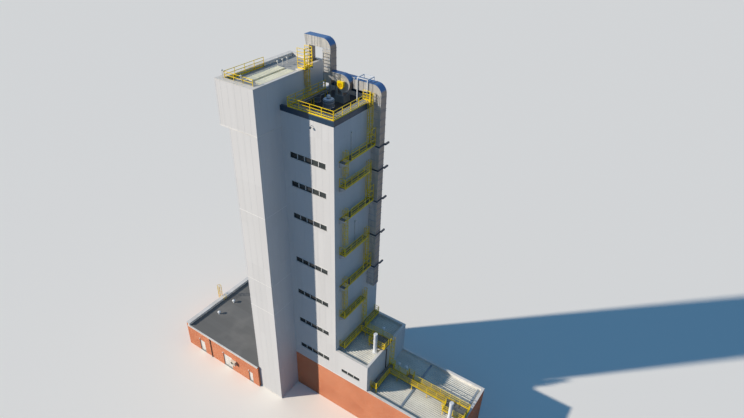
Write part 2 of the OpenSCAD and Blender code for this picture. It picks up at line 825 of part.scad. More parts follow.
// A square duct that turns from +X to down, about the inner corner at the origin in X and Z
module duct_elbow() {
    rotate([90, 0, 0]) linear_extrude(duct_w) intersection() {
        circle(r = duct_w, $fn = 96);
        square([duct_w, duct_w]);
    }
}

// The arch from the shaft's roof over to the main roof, and its branch to the fan
module duct_arch() {
    z0 = arch_top - duct_w;
    left_x = shaft_right - arch_left_x;
    color(steel) {
        translate([arch_x, arch_y + duct_w, z0]) duct_elbow();
        translate([0, arch_y + duct_w, 0]) rotate([90, 0, 0]) linear_extrude(duct_w)
            polygon([[left_x, z0], [left_x - 120, arch_top], [arch_x + eps, arch_top], [arch_x + eps, z0]]);
        block([left_x, arch_y, shaft_roof_z], [left_x + arch_left_w, arch_y + duct_w, z0 + eps]);
        block([arch_x, arch_y, roof_duct_z0], [arch_x + duct_w, arch_y + duct_w, z0 + eps]);
        flange_ring([arch_x, arch_y], [arch_x + duct_w, arch_y + duct_w], z0 - flange_t);
        for (x = [arch_x + 40, arch_x + duct_w - 80], y = [arch_y + 40, arch_y + duct_w - 80])
            block([x, y, main_roof_z], [x + 40, y + 40, roof_duct_z0 + eps]);
    }
}

// The level ducts on each side of the fan
module roof_duct() {
    color(blue) {
        block([arch_x + duct_w, fan_y + 20, outlet_top - outlet_h],
            [outlet_end, fan_y + fan_w - 20, outlet_top]);
        block([inlet_end, riser_front, roof_duct_z0],
            [riser_x, riser_front + duct_w, roof_duct_z0 + duct_w]);
    }
}

module duct_riser() {
    color(steel) {
        block([riser_x, riser_front, riser_foot_z],
            [riser_x + duct_w, riser_front + duct_w, roof_duct_z0 + eps]);
        translate([riser_x, riser_front + duct_w, roof_duct_z0]) duct_elbow();
        flange_ring([riser_x + flange_out, riser_front],
            [riser_x + duct_w, riser_front + duct_w], main_h - 200);
    }
}

// Navy arms that hold the riser off the wall at each platform level that it passes
module duct_brackets() {
    bar = 60;
    x1 = riser_x + duct_w;
    y0 = riser_front - bar;
    y1 = riser_front + duct_w;
    color(navy) for (i = [1 : last_deck]) if (deck_z[i] - 300 > riser_foot_z) {
        z = deck_z[i] - 260;
        difference() {
            block([main_right, y0, z], [x1 + bar, y1 + bar, z + bar]);
            block([main_right - eps, y0 + bar, z - eps], [x1, y1, z + bar + eps]);
        }
        block([x1, y1, z - 40], [x1 + bar + 40, y1 + 420, z + bar]);
    }
}

// Centrifugal fan: a scroll that widens to its outlet, with its drive side towards the front,
// an inlet box behind it and two feet
module fan_casing() {
    foot_w = 100;
    hub_r = fan_r * 0.45;
    foot_x = shaft_right + plinth_x + plinth_w / 2;
    color(steel) {
        translate([fan_x, fan_y + fan_w, fan_z]) rotate([90, 0, 0]) linear_extrude(fan_w)
            polygon(concat([for (turn = [0 : 7.5 : 270])
                    scroll_r(turn) * [cos(180 + turn), sin(180 + turn)]],
                [[outlet_end - fan_x, scroll_r(270)], [outlet_end - fan_x, scroll_r(270) - outlet_h]]));
        translate([fan_x, fan_y + eps, fan_z]) rotate([90, 0, 0]) cylinder(r = hub_r, h = 70 + eps);
        block([fan_x - 200, fan_y + fan_w - eps, roof_duct_z0],
            [inlet_end, riser_front + duct_w, roof_duct_z0 + duct_w]);
        for (side = [-1, 1])
            block([foot_x + side * 200 - foot_w / 2, fan_y + 40, main_roof_z + plinth_h],
                [foot_x + side * 200 + foot_w / 2, fan_y + fan_w - 40, fan_z - fan_r * 0.7]);
    }
}

module fan_plinth() {
    x0 = shaft_right + plinth_x;
    y0 = main_front + plinth_y;
    color("#56616b") block([x0, y0, main_roof_z], [x0 + plinth_w, y0 + plinth_w, main_roof_z + plinth_h]);
}

module fan_guard() {
    guard_r = fan_r * 0.54;
    color(yellow) translate([fan_x, fan_y - 70, fan_z]) rotate([90, 0, 0]) difference() {
        union() {
            cylinder(r = guard_r, h = 150);
            translate([-guard_r, 0, 0]) cube([2 * guard_r, fan_r * 0.64, 150]);
        }
        translate([0, 0, 30]) cylinder(r = fan_r * 0.4, h = 150);
    }
}

// Steel frame round the roof duct
module duct_frame() {
    x1 = main_right - portal_x;
    x0 = x1 - portal_w;
    y0 = riser_front - portal_gap - portal_bar;
    y1 = riser_front + duct_w + portal_gap + portal_bar;
    top = main_roof_z + portal_h;
    bar = portal_bar;
    color("#d8dad6") {
        for (x = [x0, x1 - bar], y = [y0, y1 - bar])
            block([x, y, main_roof_z], [x + bar, y + bar, top]);
        for (y = [y0, y1 - bar]) block([x0, y, top - bar], [x1, y + bar, top]);
        for (x = [x0, x1 - bar]) block([x, y0, top - bar], [x + bar, y1, top]);
    }
}

// A vent pipe under a round hood
module mushroom(x, y, z, h) {
    translate([x, y, z]) {
        cylinder(r = vent_r, h = h);
        translate([0, 0, h - eps]) cylinder(r = vent_r * 1.8, h = 50 + eps);
        translate([0, 0, h + 50 - eps]) cylinder(r1 = vent_r * 1.8, r2 = vent_r * 0.5, h = 60);
    }
}

// Round roof fans and mast on the main roof, hooded vents on the low roofs
module roof_vents() {
    color("#dfe3e6") {
        translate([shaft_right + round_fan_at[0], main_front + round_fan_at[1], main_roof_z]) {
            cylinder(r = round_fan_r, h = round_fan_h);
            translate([0, 0, round_fan_h - eps]) cylinder(r = round_fan_r * 0.9, h = 60);
            translate([0, 0, round_fan_h + 40]) cylinder(r = round_fan_r * 0.35, h = 170);
        }
        translate([shaft_right + small_fan_at[0], main_front + small_fan_at[1], main_roof_z]) {
            cylinder(r = small_fan_r, h = small_fan_h);
            translate([0, 0, small_fan_h - eps]) cylinder(r = small_fan_r * 0.8, h = 90);
        }
        translate([shaft_right + mast_at[0], main_front + mast_at[1], main_roof_z])
            cylinder(r = 16, h = 1150);
        mushroom(main_right + step_vent_at[0], main_front + step_vent_at[1], step_roof_z, step_vent_h);
        for (p = hall_vent_at) mushroom(step_right + p[0], main_front + p[1], hall_roof_z, hall_vent_h);
        for (p = annex_vent_at) mushroom(shaft_left - p[0], annex_front + p[1], annex_roof_z, 180);
    }
}

// Step block and hall

module step_cross_walls() {
    color(clad) {
        difference() {
            block([main_right, main_front, hall_h], [step_right, main_front + wall_t, step_h]);
            block([step_strip_left, main_front - eps, step_sill_z],
                [step_strip_left + step_strip_w, main_front + wall_t + eps, step_sill_z + step_strip_h]);
        }
        block([main_right, main_rear - wall_t, hall_h], [step_right, main_rear, step_h]);
    }
}

module step_right_wall() {
    color(clad) block([step_right - wall_t, main_front + wall_t, hall_roof_z - slab_t],
        [step_right, main_rear - wall_t, step_h]);
}

// Roofs of the step block and the hall
module low_roofs() {
    color("#c8c6b8") {
        block([main_right, main_front + wall_t, step_roof_z - slab_t],
            [step_right - wall_t, main_rear - wall_t, step_roof_z]);
        block([step_right, main_front + wall_t, hall_roof_z - slab_t],
            [hall_right - wall_t, main_rear - wall_t, hall_roof_z]);
    }
}

// Front and rear walls up to the hall's roof, under the main block, the step block and the hall
module plinth_walls() {
    color(orange) {
        block([shaft_right, main_front, 0], [hall_right, main_front + wall_t, hall_h]);
        block([rear_part_right, main_rear - wall_t, 0], [hall_right, main_rear, hall_h]);
    }
}

module hall_right_wall() {
    color(orange) block([hall_right - wall_t, main_front + wall_t, 0],
        [hall_right, main_rear - wall_t, hall_h]);
}

module roof_ribs() {
    color("#8f9aa3") for (x = [step_right + rib_x1, step_right + rib_x2])
        block([x, main_front + wall_t, hall_roof_z],
            [x + rib_w, main_rear - wall_t, hall_roof_z + rib_h]);
}

// Parapet caps over the walls that run along X, a wide one on the kerb behind the head's front
module cross_caps() {
    c = cap_out;
    color("#e4e1dc") {
        block([head_left - c, shaft_front - c, shaft_h],
            [shaft_right + c, shaft_front + kerb_w, shaft_h + cap_t]);
        block([head_left + wall_t, shaft_front + wall_t, shaft_roof_z],
            [shaft_right - wall_t, shaft_front + kerb_inner, shaft_h + eps]);
        cap([head_left - c, shaft_rear - wall_t - c], [rear_part_right + c, shaft_rear + c], shaft_h);
        cap([rear_part_right - wall_t, shaft_step - wall_t - c], [shaft_right + c, shaft_step + c], shaft_h);
        for (y = [main_front, main_rear - wall_t]) {
            cap([main_right, y - c], [step_right + c, y + wall_t + c], step_h);
            cap([step_right, y - c], [hall_right + c, y + wall_t + c], hall_h);
        }
    }
}

// Parapet caps over the walls that run along Y, wide ones on the kerbs behind the left ends
module side_caps() {
    c = cap_out;
    y0 = shaft_front + kerb_w;
    y1 = shaft_rear - wall_t - c;
    color("#e4e1dc") {
        cap([head_left - c, y0], [head_left + kerb_w, y1], shaft_h);
        block([head_left + wall_t, y0, shaft_roof_z], [head_left + kerb_inner, y1, shaft_h + eps]);
        cap([shaft_right - wall_t - c, y0], [shaft_right + c, shaft_step - wall_t - c], shaft_h);
        cap([rear_part_right - wall_t - c, shaft_step + c], [rear_part_right + c, y1], shaft_h);
        y2 = main_front + wall_t + c;
        y3 = main_rear - wall_t - c;
        cap([step_right - wall_t - c, y2], [step_right + c, y3], step_h);
        cap([hall_right - wall_t - c, y2], [hall_right + c, y3], hall_h);
        cap([annex_left - c, annex_front - c], [annex_left + end_parapet_w, annex_rear + c], end_top);
        block([annex_left + wall_t, annex_front, annex_roof_z],
            [annex_left + end_parapet_w - c, annex_rear, end_top + eps]);
    }
}

module chimney(x, y, z, h) {
    translate([x, y, z]) {
        cylinder(r = chimney_r, h = h);
        cylinder(r = chimney_r * 1.5, h = 40);
        translate([0, 0, h - 90]) cylinder(r = chimney_r * 1.15, h = 50);
    }
}

module chimneys() {
    color(steel) {
        chimney(main_right + step_chimney_at[0], main_front + step_chimney_at[1], step_roof_z, chimney_h[0]);
        chimney(hall_right - hall_chimney_at[0], main_front + hall_chimney_at[1], hall_roof_z, chimney_h[1]);
    }
}

// Catwalks across the step block's roof and along the hall's roof, with the platforms beside them
module catwalk_decks() {
    color(steel) {
        block([deck_x1, branch_y, deck_z[0] - deck_t], [branch_end, branch_y + branch_w, deck_z[0]]);
        block([branch_side_x, branch_side_y, deck_z[0] - deck_t], [branch_end, branch_y - play, deck_z[0]]);
        block([bay_x0, bay_y1 - bay_d, catwalk_z - deck_t], [bay_x0 + bay_w, bay_y1, catwalk_z]);
        block([hall_deck_x, hall_deck_y, catwalk_z - deck_t],
            [hall_deck_end, hall_deck_y + hall_walk_w, catwalk_z]);
        block([side_deck_x, hall_deck_y - side_deck_d, catwalk_z - deck_t],
            [hall_deck_end, hall_deck_y - play, catwalk_z]);
    }
}

// Legs of the catwalks, of the low platform and of the roof walkway's left leg
module catwalk_legs() {
    leg = 40;
    walk_x = shaft_right + walk_start;
    walk_y = main_front - walk_out + walk_w;
    side_y = hall_deck_y - side_deck_d + 20;
    color(steel) {
        for (x = [deck_x1 + 300, step_right - 600], y = [branch_y, branch_y + branch_w - leg])
            block([x, y, step_roof_z], [x + leg, y + leg, deck_z[0] - deck_t]);
        for (x = [step_right + 60, hall_deck_x - 70], y = [deck_y0 + 20, branch_y + branch_w - 80])
            block([x, y, hall_roof_z], [x + leg, y + leg, catwalk_z - deck_t]);
        for (x = [step_right + 1150 : 1200 : hall_deck_end - 100],
                y = [hall_deck_y, hall_deck_y + hall_walk_w - leg])
            block([x, y, hall_roof_z], [x + leg, y + leg, catwalk_z - deck_t]);
        for (x = [side_deck_x + 40, hall_right - wall_t - leg - 30])
            block([x, side_y, hall_roof_z], [x + leg, side_y + leg, catwalk_z - deck_t]);
        for (x = [branch_side_x + 20, step_right - wall_t - leg - 30])
            block([x, branch_side_y + 20, step_roof_z],
                [x + leg, branch_side_y + 20 + leg, deck_z[0] - deck_t]);
        for (x = [bay_x0 + 20, bay_x0 + bay_w - leg - 20])
            block([x, bay_y1 - leg - 20, hall_roof_z], [x + leg, bay_y1 - 20, catwalk_z - deck_t]);
        for (x = [walk_x + 20, walk_x + left_walk_w - leg - 20], part = [0.05, 0.5, 0.95])
            block([x, walk_y + part * left_walk_l, main_roof_z],
                [x + leg, walk_y + part * left_walk_l + leg, fascia_z]);
    }
}

module catwalk_rails() {
    b = rail_bar / 2;
    x0 = deck_x1 + play;
    south = deck_y0 - 20;
    north = branch_y + branch_w;
    near = hall_deck_y + b;
    far = hall_deck_y + hall_walk_w - b;
    side_y = hall_deck_y - side_deck_d + b;
    color(yellow) {
        rail_run([x0, branch_y + b], [branch_side_x, branch_y + b], deck_z[0]);
        rail_run([x0, north - b], [branch_end, north - b], deck_z[0]);
        for (x = [branch_side_x + b, branch_end - b])
            rail_run([x, branch_side_y], [x, branch_y - play], deck_z[0]);
        rail_run([branch_side_x + rail_bar + play, branch_side_y + b],
            [branch_end - rail_bar - play, branch_side_y + b], deck_z[0]);
        rail_run([low_deck_x, south + b], [hall_deck_x - rail_bar - play, south + b], catwalk_z);
        rail_run([hall_deck_x - b, south], [hall_deck_x - b, hall_deck_y], catwalk_z);
        rail_run([hall_deck_x + play, near], [side_deck_x, near], catwalk_z);
        rail_run([side_deck_x + b, side_y - b], [side_deck_x + b, near - 2 * b - play], catwalk_z);
        rail_run([side_deck_x + rail_bar + play, side_y],
            [hall_deck_end - rail_bar - play, side_y], catwalk_z);
        rail_run([hall_deck_end - b, side_y - b], [hall_deck_end - b, far + b], catwalk_z);
        rail_run([hall_deck_x + play, far], [bay_x0, far], catwalk_z);
        rail_run([bay_x0 + bay_w, far], [hall_deck_end - rail_bar - play, far], catwalk_z);
        for (x = [bay_x0 + b, bay_x0 + bay_w - b])
            rail_run([x, bay_y1 - bay_d], [x, bay_y1], catwalk_z);
        rail_run([bay_x0 + rail_bar + play, bay_y1 - b],
            [bay_x0 + bay_w - rail_bar - play, bay_y1 - b], catwalk_z);
        rail_run([hall_deck_x - b, far], [hall_deck_x - b, north], catwalk_z);
        rail_run([low_deck_x, north - b], [hall_deck_x - rail_bar - play, north - b], catwalk_z);
    }
}

// Annex

module annex_front_piers() {
    edges = concat([for (i = [0 : 2]) [i == 0 ? annex_left + wall_t : door_right(i - 1), door_left(i)]],
        [[door_right(2), shaft_left]]);
    color(orange) for (e = edges)
        block([e[0], annex_front, 0], [e[1], annex_front + wall_t, annex_h]);
}

module annex_lintels() {
    color(orange) for (i = [0 : 2])
        block([door_left(i), annex_front, door_h[i]], [door_right(i), annex_front + wall_t, annex_h]);
}

module annex_left_wall() {
    color(orange) block([annex_left, annex_front, 0],
        [annex_left + wall_t, annex_rear, annex_roof_z + end_parapet_h]);
}

// The rear wall, and the short right wall where the annex reaches past the shaft
module annex_rear_wall() {
    color(orange) {
        block([annex_left + wall_t, annex_rear - wall_t, 0], [shaft_left, annex_rear, annex_h]);
        block([shaft_left - wall_t, shaft_rear + play, 0],
            [shaft_left, annex_rear - wall_t - play, annex_h]);
    }
}

module annex_roof() {
    color(dark) block([annex_left + wall_t, annex_front - eave_out, annex_h],
        [shaft_left, annex_rear + eave_out, annex_roof_z]);
}

// Ground floors, the annex's with a sill in each doorway
module ground_floors() {
    color("#a5a39d") {
        slab([[annex_left + wall_t, annex_front + wall_t], [shaft_left, annex_front + wall_t],
            [shaft_left, shaft_rear + play], [shaft_left - wall_t, shaft_rear + play],
            [shaft_left - wall_t, annex_rear - wall_t], [annex_left + wall_t, annex_rear - wall_t]],
            0, ground_t);
        for (i = [0 : 2])
            block([door_left(i), annex_front, 0], [door_right(i), annex_front + wall_t + eps, ground_t]);
        slab([[shaft_left + wall_t, shaft_front + wall_t], [shaft_right - wall_t, shaft_front + wall_t],
            [shaft_right - wall_t, shaft_step - wall_t], [rear_part_right - wall_t, shaft_step - wall_t],
            [rear_part_right - wall_t, shaft_rear - wall_t], [shaft_left + wall_t, shaft_rear - wall_t]],
            0, ground_t);
        block([shaft_right, main_front + wall_t, 0], [main_right - wall_t, main_rear - wall_t, ground_t]);
        block([main_right, main_front + wall_t, 0], [hall_right - wall_t, main_rear - wall_t, ground_t]);
    }
}

// Doors: steel frames set back in the wall, and leaves that swing out

function hinge_z(i) = [160, 0.5 * door_h[i], 0.85 * door_h[i]];

// The frame's half of the hinges at a pivot; side is 1 where the jamb lies towards -X, else -1
module frame_knuckles(i, x, side) {
    for (z = hinge_z(i)) translate([x, pivot_y, z - knuckle_h]) {
        cylinder(r = knuckle_r, h = knuckle_h - knuckle_play);
        translate([side > 0 ? -pivot_off - eps : 0, -1.5, 0])
            cube([pivot_off + eps, 3, knuckle_h - knuckle_play]);
    }
}

module door_jambs() {
    color("#e9e7e1") for (i = [0 : 2]) {
        for (x = [door_left(i), door_right(i) - frame_w])
            block([x, frame_y, ground_t], [x + frame_w, frame_y + frame_t, door_h[i] - frame_w]);
        frame_knuckles(i, door_left(i) + frame_w + pivot_off, 1);
        if (i == 1) frame_knuckles(i, door_right(i) - frame_w - pivot_off, -1);
    }
}

module door_heads() {
    color("#e9e7e1") for (i = [0 : 2])
        block([door_left(i), frame_y, door_h[i] - frame_w], [door_right(i), frame_y + frame_t, door_h[i]]);
}

// A leaf of door i from its hinge's axis at the origin towards +X
module leaf(i, w) {
    z0 = ground_t + leaf_gap;
    h = door_h[i] - frame_w - leaf_gap - z0;
    front = leaf_y - pivot_y;
    edge = leaf_gap - pivot_off;
    pull_w = 90;
    difference() {
        translate([edge, front, z0]) cube([w, leaf_t, h]);
        for (part = [[0.08, 0.38], [0.54, 0.38]])
            translate([edge + 60, front - eps, z0 + h * part[0]]) cube([w - 120, 6 + eps, h * part[1]]);
    }
    for (z = hinge_z(i)) translate([0, 0, z]) {
        cylinder(r = knuckle_r, h = knuckle_h);
        translate([0, -1.5, 0]) cube([22, front + 1.5 + eps, knuckle_h]);
    }
    translate([edge + w - pull_w - 10, front - 26, z0 + h * 0.48]) {
        cube([pull_w, 10, 14]);
        translate([pull_w - 14, 0, 0]) cube([14, 26 + eps, 14]);
    }
}

function single_w(i) = door_w[i] - 2 * frame_w - 2 * leaf_gap;
half_w = (single_w(1) - meet_gap) / 2;

module door_1_leaf() {
    color("white") translate([door_left(0) + frame_w + pivot_off, pivot_y, 0]) leaf(0, single_w(0));
}

module door_2_left_leaf() {
    color("white") translate([door_left(1) + frame_w + pivot_off, pivot_y, 0]) leaf(1, half_w);
}

module door_2_right_leaf() {
    color("white") translate([door_right(1) - frame_w - pivot_off, pivot_y, 0])
        mirror([1, 0, 0]) leaf(1, half_w);
}

module door_3_leaf() {
    color("white") translate([door_left(2) + frame_w + pivot_off, pivot_y, 0]) leaf(2, single_w(2));
}

// Outdoor cooling unit with a round fan opening, on two brackets
module cooling_unit() {
    x0 = door_right(1) + 70;
    w = 480;
    d = 200;
    z0 = 940;
    back = annex_front - 30;
    color("#e3dcc0") {
        difference() {
            block([x0, back - d, z0], [x0 + w, back, z0 + 360]);
            translate([x0 + 170, back - d + 10, z0 + 180]) rotate([90, 0, 0]) cylinder(r = 140, h = 50);
        }
        for (x = [x0 + 60, x0 + w - 90])
            block([x, back - d, z0 - 30], [x + 30, annex_front, z0 + eps]);
    }
}

// A pipe from z = 0 up to a square head, held off the wall at y = 0, which it stands in front of
module wall_pipe(h, r) {
    translate([0, -r - 10, 0]) cylinder(r = r, h = h);
    block([-r - 12, -2 * r - 10, h - 60], [r + 12, 0, h + eps]);
    for (z = [0.15, 0.6]) block([-6, -r - 12, h * z], [6, 0, h * z + 20]);
}

module downpipe() {
    color("#4a3f3a") {
        translate([shaft_left - annex_pipe_x, annex_front, 0]) wall_pipe(annex_h - 60, 28);
        translate([step_right, main_front + step_pipe_y, catwalk_z + 40]) rotate([0, 0, 90])
            wall_pipe(step_roof_z - catwalk_z - 40, 34);
    }
}

// A round lamp on a post
module post_lamp(x, y, z, h) {
    translate([x, y, z]) {
        cylinder(r = 14, h = h);
        translate([0, 0, h - eps]) cylinder(r = 55, h = 45);
        translate([0, 0, h + 44 - eps]) cylinder(r1 = 55, r2 = 20, h = 26);
    }
}

// Small lamps over the doors and on the walls, and lamps on posts on the shaft's roof
module wall_lamps() {
    post_x = shaft_left + 310;
    color("#f0efe8") {
        for (i = [0 : 2])
            block([door_left(i) + 20, annex_front - 70, door_h[i] + 110],
                [door_left(i) + 110, annex_front, door_h[i] + 160]);
        block([shaft_right, shaft_front + 390, shaft_h - 790],
            [shaft_right + 60, shaft_front + 450, shaft_h - 730]);
        for (p = [[1540, main_h - 880], [2020, deck_z[4] - 1060]])
            block([main_right, main_front + p[0], p[1]],
                [main_right + 90, main_front + p[0] + 60, p[1] + 70]);
        for (p = [[head_left + kerb_w - 30, shaft_front + kerb_w - 30],
                [shaft_left + 1000, shaft_front + kerb_w - 30]])
            post_lamp(p[0], p[1], shaft_h + cap_t, kerb_lamp_h);
        for (y = [-100, 320, 720]) post_lamp(post_x, shaft_step + y, shaft_roof_z, post_lamp_h);
    }
}

shaft_front_wall();
shaft_side_walls();
shaft_cross_walls();
head_cross_walls();
head_side_walls();
shaft_roof();
shaft_roof_strips();
roof_rails();
main_front_wall();
main_side_walls();
main_rear_wall();
main_floors();
main_roof();
window_frames();
window_glass();
roof_fascia();
roof_walkway();
platform_decks();
platform_beams();
platform_brackets();
platform_rails();
ladders();
cage_straps();
cage_hoops();
duct_arch();
duct_riser();
roof_duct();
duct_brackets();
fan_casing();
fan_plinth();
fan_guard();
duct_frame();
roof_vents();
step_cross_walls();
step_right_wall();
low_roofs();
plinth_walls();
hall_right_wall();
roof_ribs();
cross_caps();
side_caps();
chimneys();
catwalk_decks();
catwalk_legs();
catwalk_rails();
annex_front_piers();
annex_lintels();
annex_left_wall();
annex_rear_wall();
annex_roof();
ground_floors();
door_jambs();
door_heads();
door_1_leaf();
door_2_left_leaf();
door_2_right_leaf();
door_3_leaf();
cooling_unit();
downpipe();
wall_lamps();
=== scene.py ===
"""Looks of the clad process tower building, a model at one half of real size, in metres.

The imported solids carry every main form. Each section below finishes one group of pieces, in the order
in which the building goes up, and adds the small parts that the solids leave out.
"""
import math
import bmesh
import bpy
from mathutils import Matrix, Vector


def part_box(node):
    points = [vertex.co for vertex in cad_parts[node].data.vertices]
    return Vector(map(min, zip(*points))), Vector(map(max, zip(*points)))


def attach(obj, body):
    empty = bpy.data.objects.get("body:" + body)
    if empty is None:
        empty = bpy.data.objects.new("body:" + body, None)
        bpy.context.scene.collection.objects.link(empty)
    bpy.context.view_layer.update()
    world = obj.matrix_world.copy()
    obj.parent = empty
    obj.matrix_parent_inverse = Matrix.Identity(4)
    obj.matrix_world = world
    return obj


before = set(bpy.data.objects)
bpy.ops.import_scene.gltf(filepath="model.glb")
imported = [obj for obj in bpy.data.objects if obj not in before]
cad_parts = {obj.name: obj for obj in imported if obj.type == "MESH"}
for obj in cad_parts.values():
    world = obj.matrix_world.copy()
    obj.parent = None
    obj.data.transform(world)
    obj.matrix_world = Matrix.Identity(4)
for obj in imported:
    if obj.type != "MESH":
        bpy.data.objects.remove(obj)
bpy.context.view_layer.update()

scene = bpy.context.scene
scene.view_settings.view_transform = "Standard"

# Camera: in the air in front of the right corner, turned towards the tower and slightly rolled, as the
# photograph was taken
eye = Vector((20.536, -20.702, 34.753))
azimuth, down, roll = (math.radians(a) for a in (32.675, 33.389, 2.086))
look = Vector((-math.sin(azimuth) * math.cos(down), math.cos(azimuth) * math.cos(down), -math.sin(down)))
level = Vector((math.cos(azimuth), math.sin(azimuth), 0))
upward = level.cross(look)
side = level * math.cos(roll) + upward * math.sin(roll)
top = upward * math.cos(roll) - level * math.sin(roll)
camera = bpy.data.objects.new("camera", bpy.data.cameras.new("camera"))
camera.data.sensor_width = 36
camera.data.lens = 26.26
camera.data.clip_end = 1500
camera.matrix_world = Matrix((side, top, -look)).transposed().to_4x4()
camera.matrix_world.translation = eye
scene.collection.objects.link(camera)
scene.camera = camera


# Studio: a wide pale floor, an even sky that sheds blue light, and one warm lamp low on the front left,
# where the photograph has its sun
def colour(code):
    """An sRGB hex colour as the linear red, green, blue and alpha that a shader takes."""
    parts = [int(code[i:i + 2], 16) / 255 for i in (1, 3, 5)]
    return [p / 12.92 if p <= 0.04045 else ((p + 0.055) / 1.055) ** 2.4 for p in parts] + [1]


def add(tree, kind, settings=None, **sockets):
    """Adds a node with its settings, and fills or links its sockets, which are given by name, with _ for a
    space, or as _ and their number."""
    node = tree.nodes.new(kind)
    for key, value in (settings or {}).items():
        setattr(node, key, value)
    for key, value in sockets.items():
        label = key.replace("_", " ")
        socket = node.inputs[int(key[1:])] if key[0] == "_" else \
            next(s for s in node.inputs if s.enabled and s.name == label)
        if isinstance(value, bpy.types.Node):
            value = next(s for s in value.outputs if s.enabled)
        if isinstance(value, bpy.types.NodeSocket):
            tree.links.new(value, socket)
        else:
            socket.default_value = value
    return node


world = bpy.data.worlds.new("soft_sky")
scene.world = world
world.use_nodes = True
sky_tree = world.node_tree
sky_tree.nodes.clear()


def backdrop_share(tree):
    """One for the rays that show the backdrop itself: those of the camera, and those in metal and glass."""
    path = add(tree, "ShaderNodeLightPath").outputs
    seen = add(tree, "ShaderNodeMath", {"operation": "MAXIMUM"}, _0=path["Is Camera Ray"],
               _1=path["Is Glossy Ray"])
    return add(tree, "ShaderNodeMath", {"operation": "MAXIMUM"}, _0=seen, _1=path["Is Transmission Ray"])


# The sky sheds blue light on the object, and looks pale itself
sky_light = add(sky_tree, "ShaderNodeBackground", Color=colour("#77b8f6"), Strength=0.37)
sky_seen = add(sky_tree, "ShaderNodeBackground", Color=colour("#dfe0e1"), Strength=0.9)
sky = add(sky_tree, "ShaderNodeMixShader", _0=backdrop_share(sky_tree), _1=sky_light, _2=sky_seen)
add(sky_tree, "ShaderNodeOutputWorld", Surface=sky)
sun_turn, sun_height = math.radians(47.2), math.radians(25)
sun = Vector((-math.sin(sun_turn) * math.cos(sun_height), -math.cos(sun_turn) * math.cos(sun_height),
              math.sin(sun_height)))
lamp = bpy.data.objects.new("key_lamp", bpy.data.lights.new("key_lamp", "SUN"))
lamp.data.energy = 4.5
lamp.data.color = colour("#fff5e8")[:3]
lamp.data.angle = math.radians(1.5)
lamp.rotation_euler = sun.to_track_quat("Z", "Y").to_euler()
scene.collection.objects.link(lamp)

floor_half = 300
floor_mesh = bpy.data.meshes.new("studio_floor")
floor_mesh.from_pydata([(x * floor_half, y * floor_half, 0) for x, y in ((-1, -1), (1, -1), (1, 1), (-1, 1))],
                       [], [(0, 1, 2, 3)])
studio_floor = bpy.data.objects.new("studio_floor", floor_mesh)
scene.collection.objects.link(studio_floor)
floor_paint = bpy.data.materials.new("studio_paint")
floor_paint.use_nodes = True
paint_tree = floor_paint.node_tree
paint_tree.nodes.clear()
# The floor looks pale too, and throws back as little light as the real ground
floor_tone = add(paint_tree, "ShaderNodeMix", {"data_type": "RGBA"}, Factor=backdrop_share(paint_tree),
                 A=colour("#7f8080"), B=colour("#faf4e9"))
floor_coat = add(paint_tree, "ShaderNodeBsdfDiffuse", Color=floor_tone)
add(paint_tree, "ShaderNodeOutputMaterial", Surface=floor_coat)
floor_mesh.materials.append(floor_paint)


# Cladding: upright steel sheets with a baked off-white coat, 0.5 m wide here, screwed to rails behind
# them; narrow covers close the joints and folded angles the corners
panel_w, panel_l = 0.5, 3.1


def blank_material(name):
    """An empty material, its node tree and its Object coordinates."""
    material = bpy.data.materials.new(name)
    material.use_nodes = True
    tree = material.node_tree
    tree.nodes.clear()
    return material, tree, add(tree, "ShaderNodeTexCoord").outputs["Object"]


def coil_coated_sheet():
    """Polyester baked onto steel strip: smooth and nearly matt, each sheet a shade off its neighbour, with
    faint grey runs below the joints. The pressed ribs, 40 mm apart, are drawn at 160 mm so that they show."""
    material, tree, place = blank_material("coil_coated_sheet")
    sheets = add(tree, "ShaderNodeVectorMath", {"operation": "DIVIDE"}, _0=place,
                 _1=(panel_w, panel_w, panel_l))
    whole = add(tree, "ShaderNodeVectorMath", {"operation": "FLOOR"}, _0=sheets)
    chance = add(tree, "ShaderNodeTexWhiteNoise", Vector=whole)
    tone = add(tree, "ShaderNodeMix", {"data_type": "RGBA"}, Factor=chance, A=colour("#dcdbd9"),
               B=colour("#d7d6d4"))
    tall = add(tree, "ShaderNodeMapping", Vector=place, Scale=(6, 6, 0.35))
    runs = add(tree, "ShaderNodeTexNoise", Vector=tall, Scale=1, Detail=4)
    run_share = add(tree, "ShaderNodeMapRange", Value=runs, From_Min=0.55, From_Max=0.85, To_Max=0.1)
    streaked = add(tree, "ShaderNodeMix", {"data_type": "RGBA"}, Factor=run_share, A=tone,
                   B=colour("#a9a8a4"))
    haze = add(tree, "ShaderNodeTexNoise", Vector=place, Scale=0.22, Detail=2)
    haze_share = add(tree, "ShaderNodeMapRange", Value=haze, From_Min=0.45, From_Max=0.7, To_Max=0.1)
    worn = add(tree, "ShaderNodeMix", {"data_type": "RGBA"}, Factor=haze_share, A=streaked,
               B=colour("#c3c2be"))
    flat = add(tree, "ShaderNodeMapping", Vector=place, Scale=(1, 1, 0))
    ribs = add(tree, "ShaderNodeTexWave", {"wave_type": "BANDS", "bands_direction": "DIAGONAL"}, Vector=flat,
               Scale=4)
    bump = add(tree, "ShaderNodeBump", Strength=0.2, Distance=0.003, Height=ribs)
    skin = add(tree, "ShaderNodeBsdfPrincipled", Base_Color=worn, Roughness=0.5, Normal=bump)
    add(tree, "ShaderNodeOutputMaterial", Surface=skin)
    return material


def dress(material, *nodes):
    """Gives the named solids that material."""
    for name in nodes:
        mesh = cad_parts[name].data
        mesh.materials.clear()
        mesh.materials.append(material)


off_white = coil_coated_sheet()
dress(off_white, "shaft_front_wall", "shaft_side_walls", "shaft_cross_walls", "head_cross_walls",
      "head_side_walls", "main_front_wall", "main_side_walls", "main_rear_wall", "step_cross_walls",
      "step_right_wall")


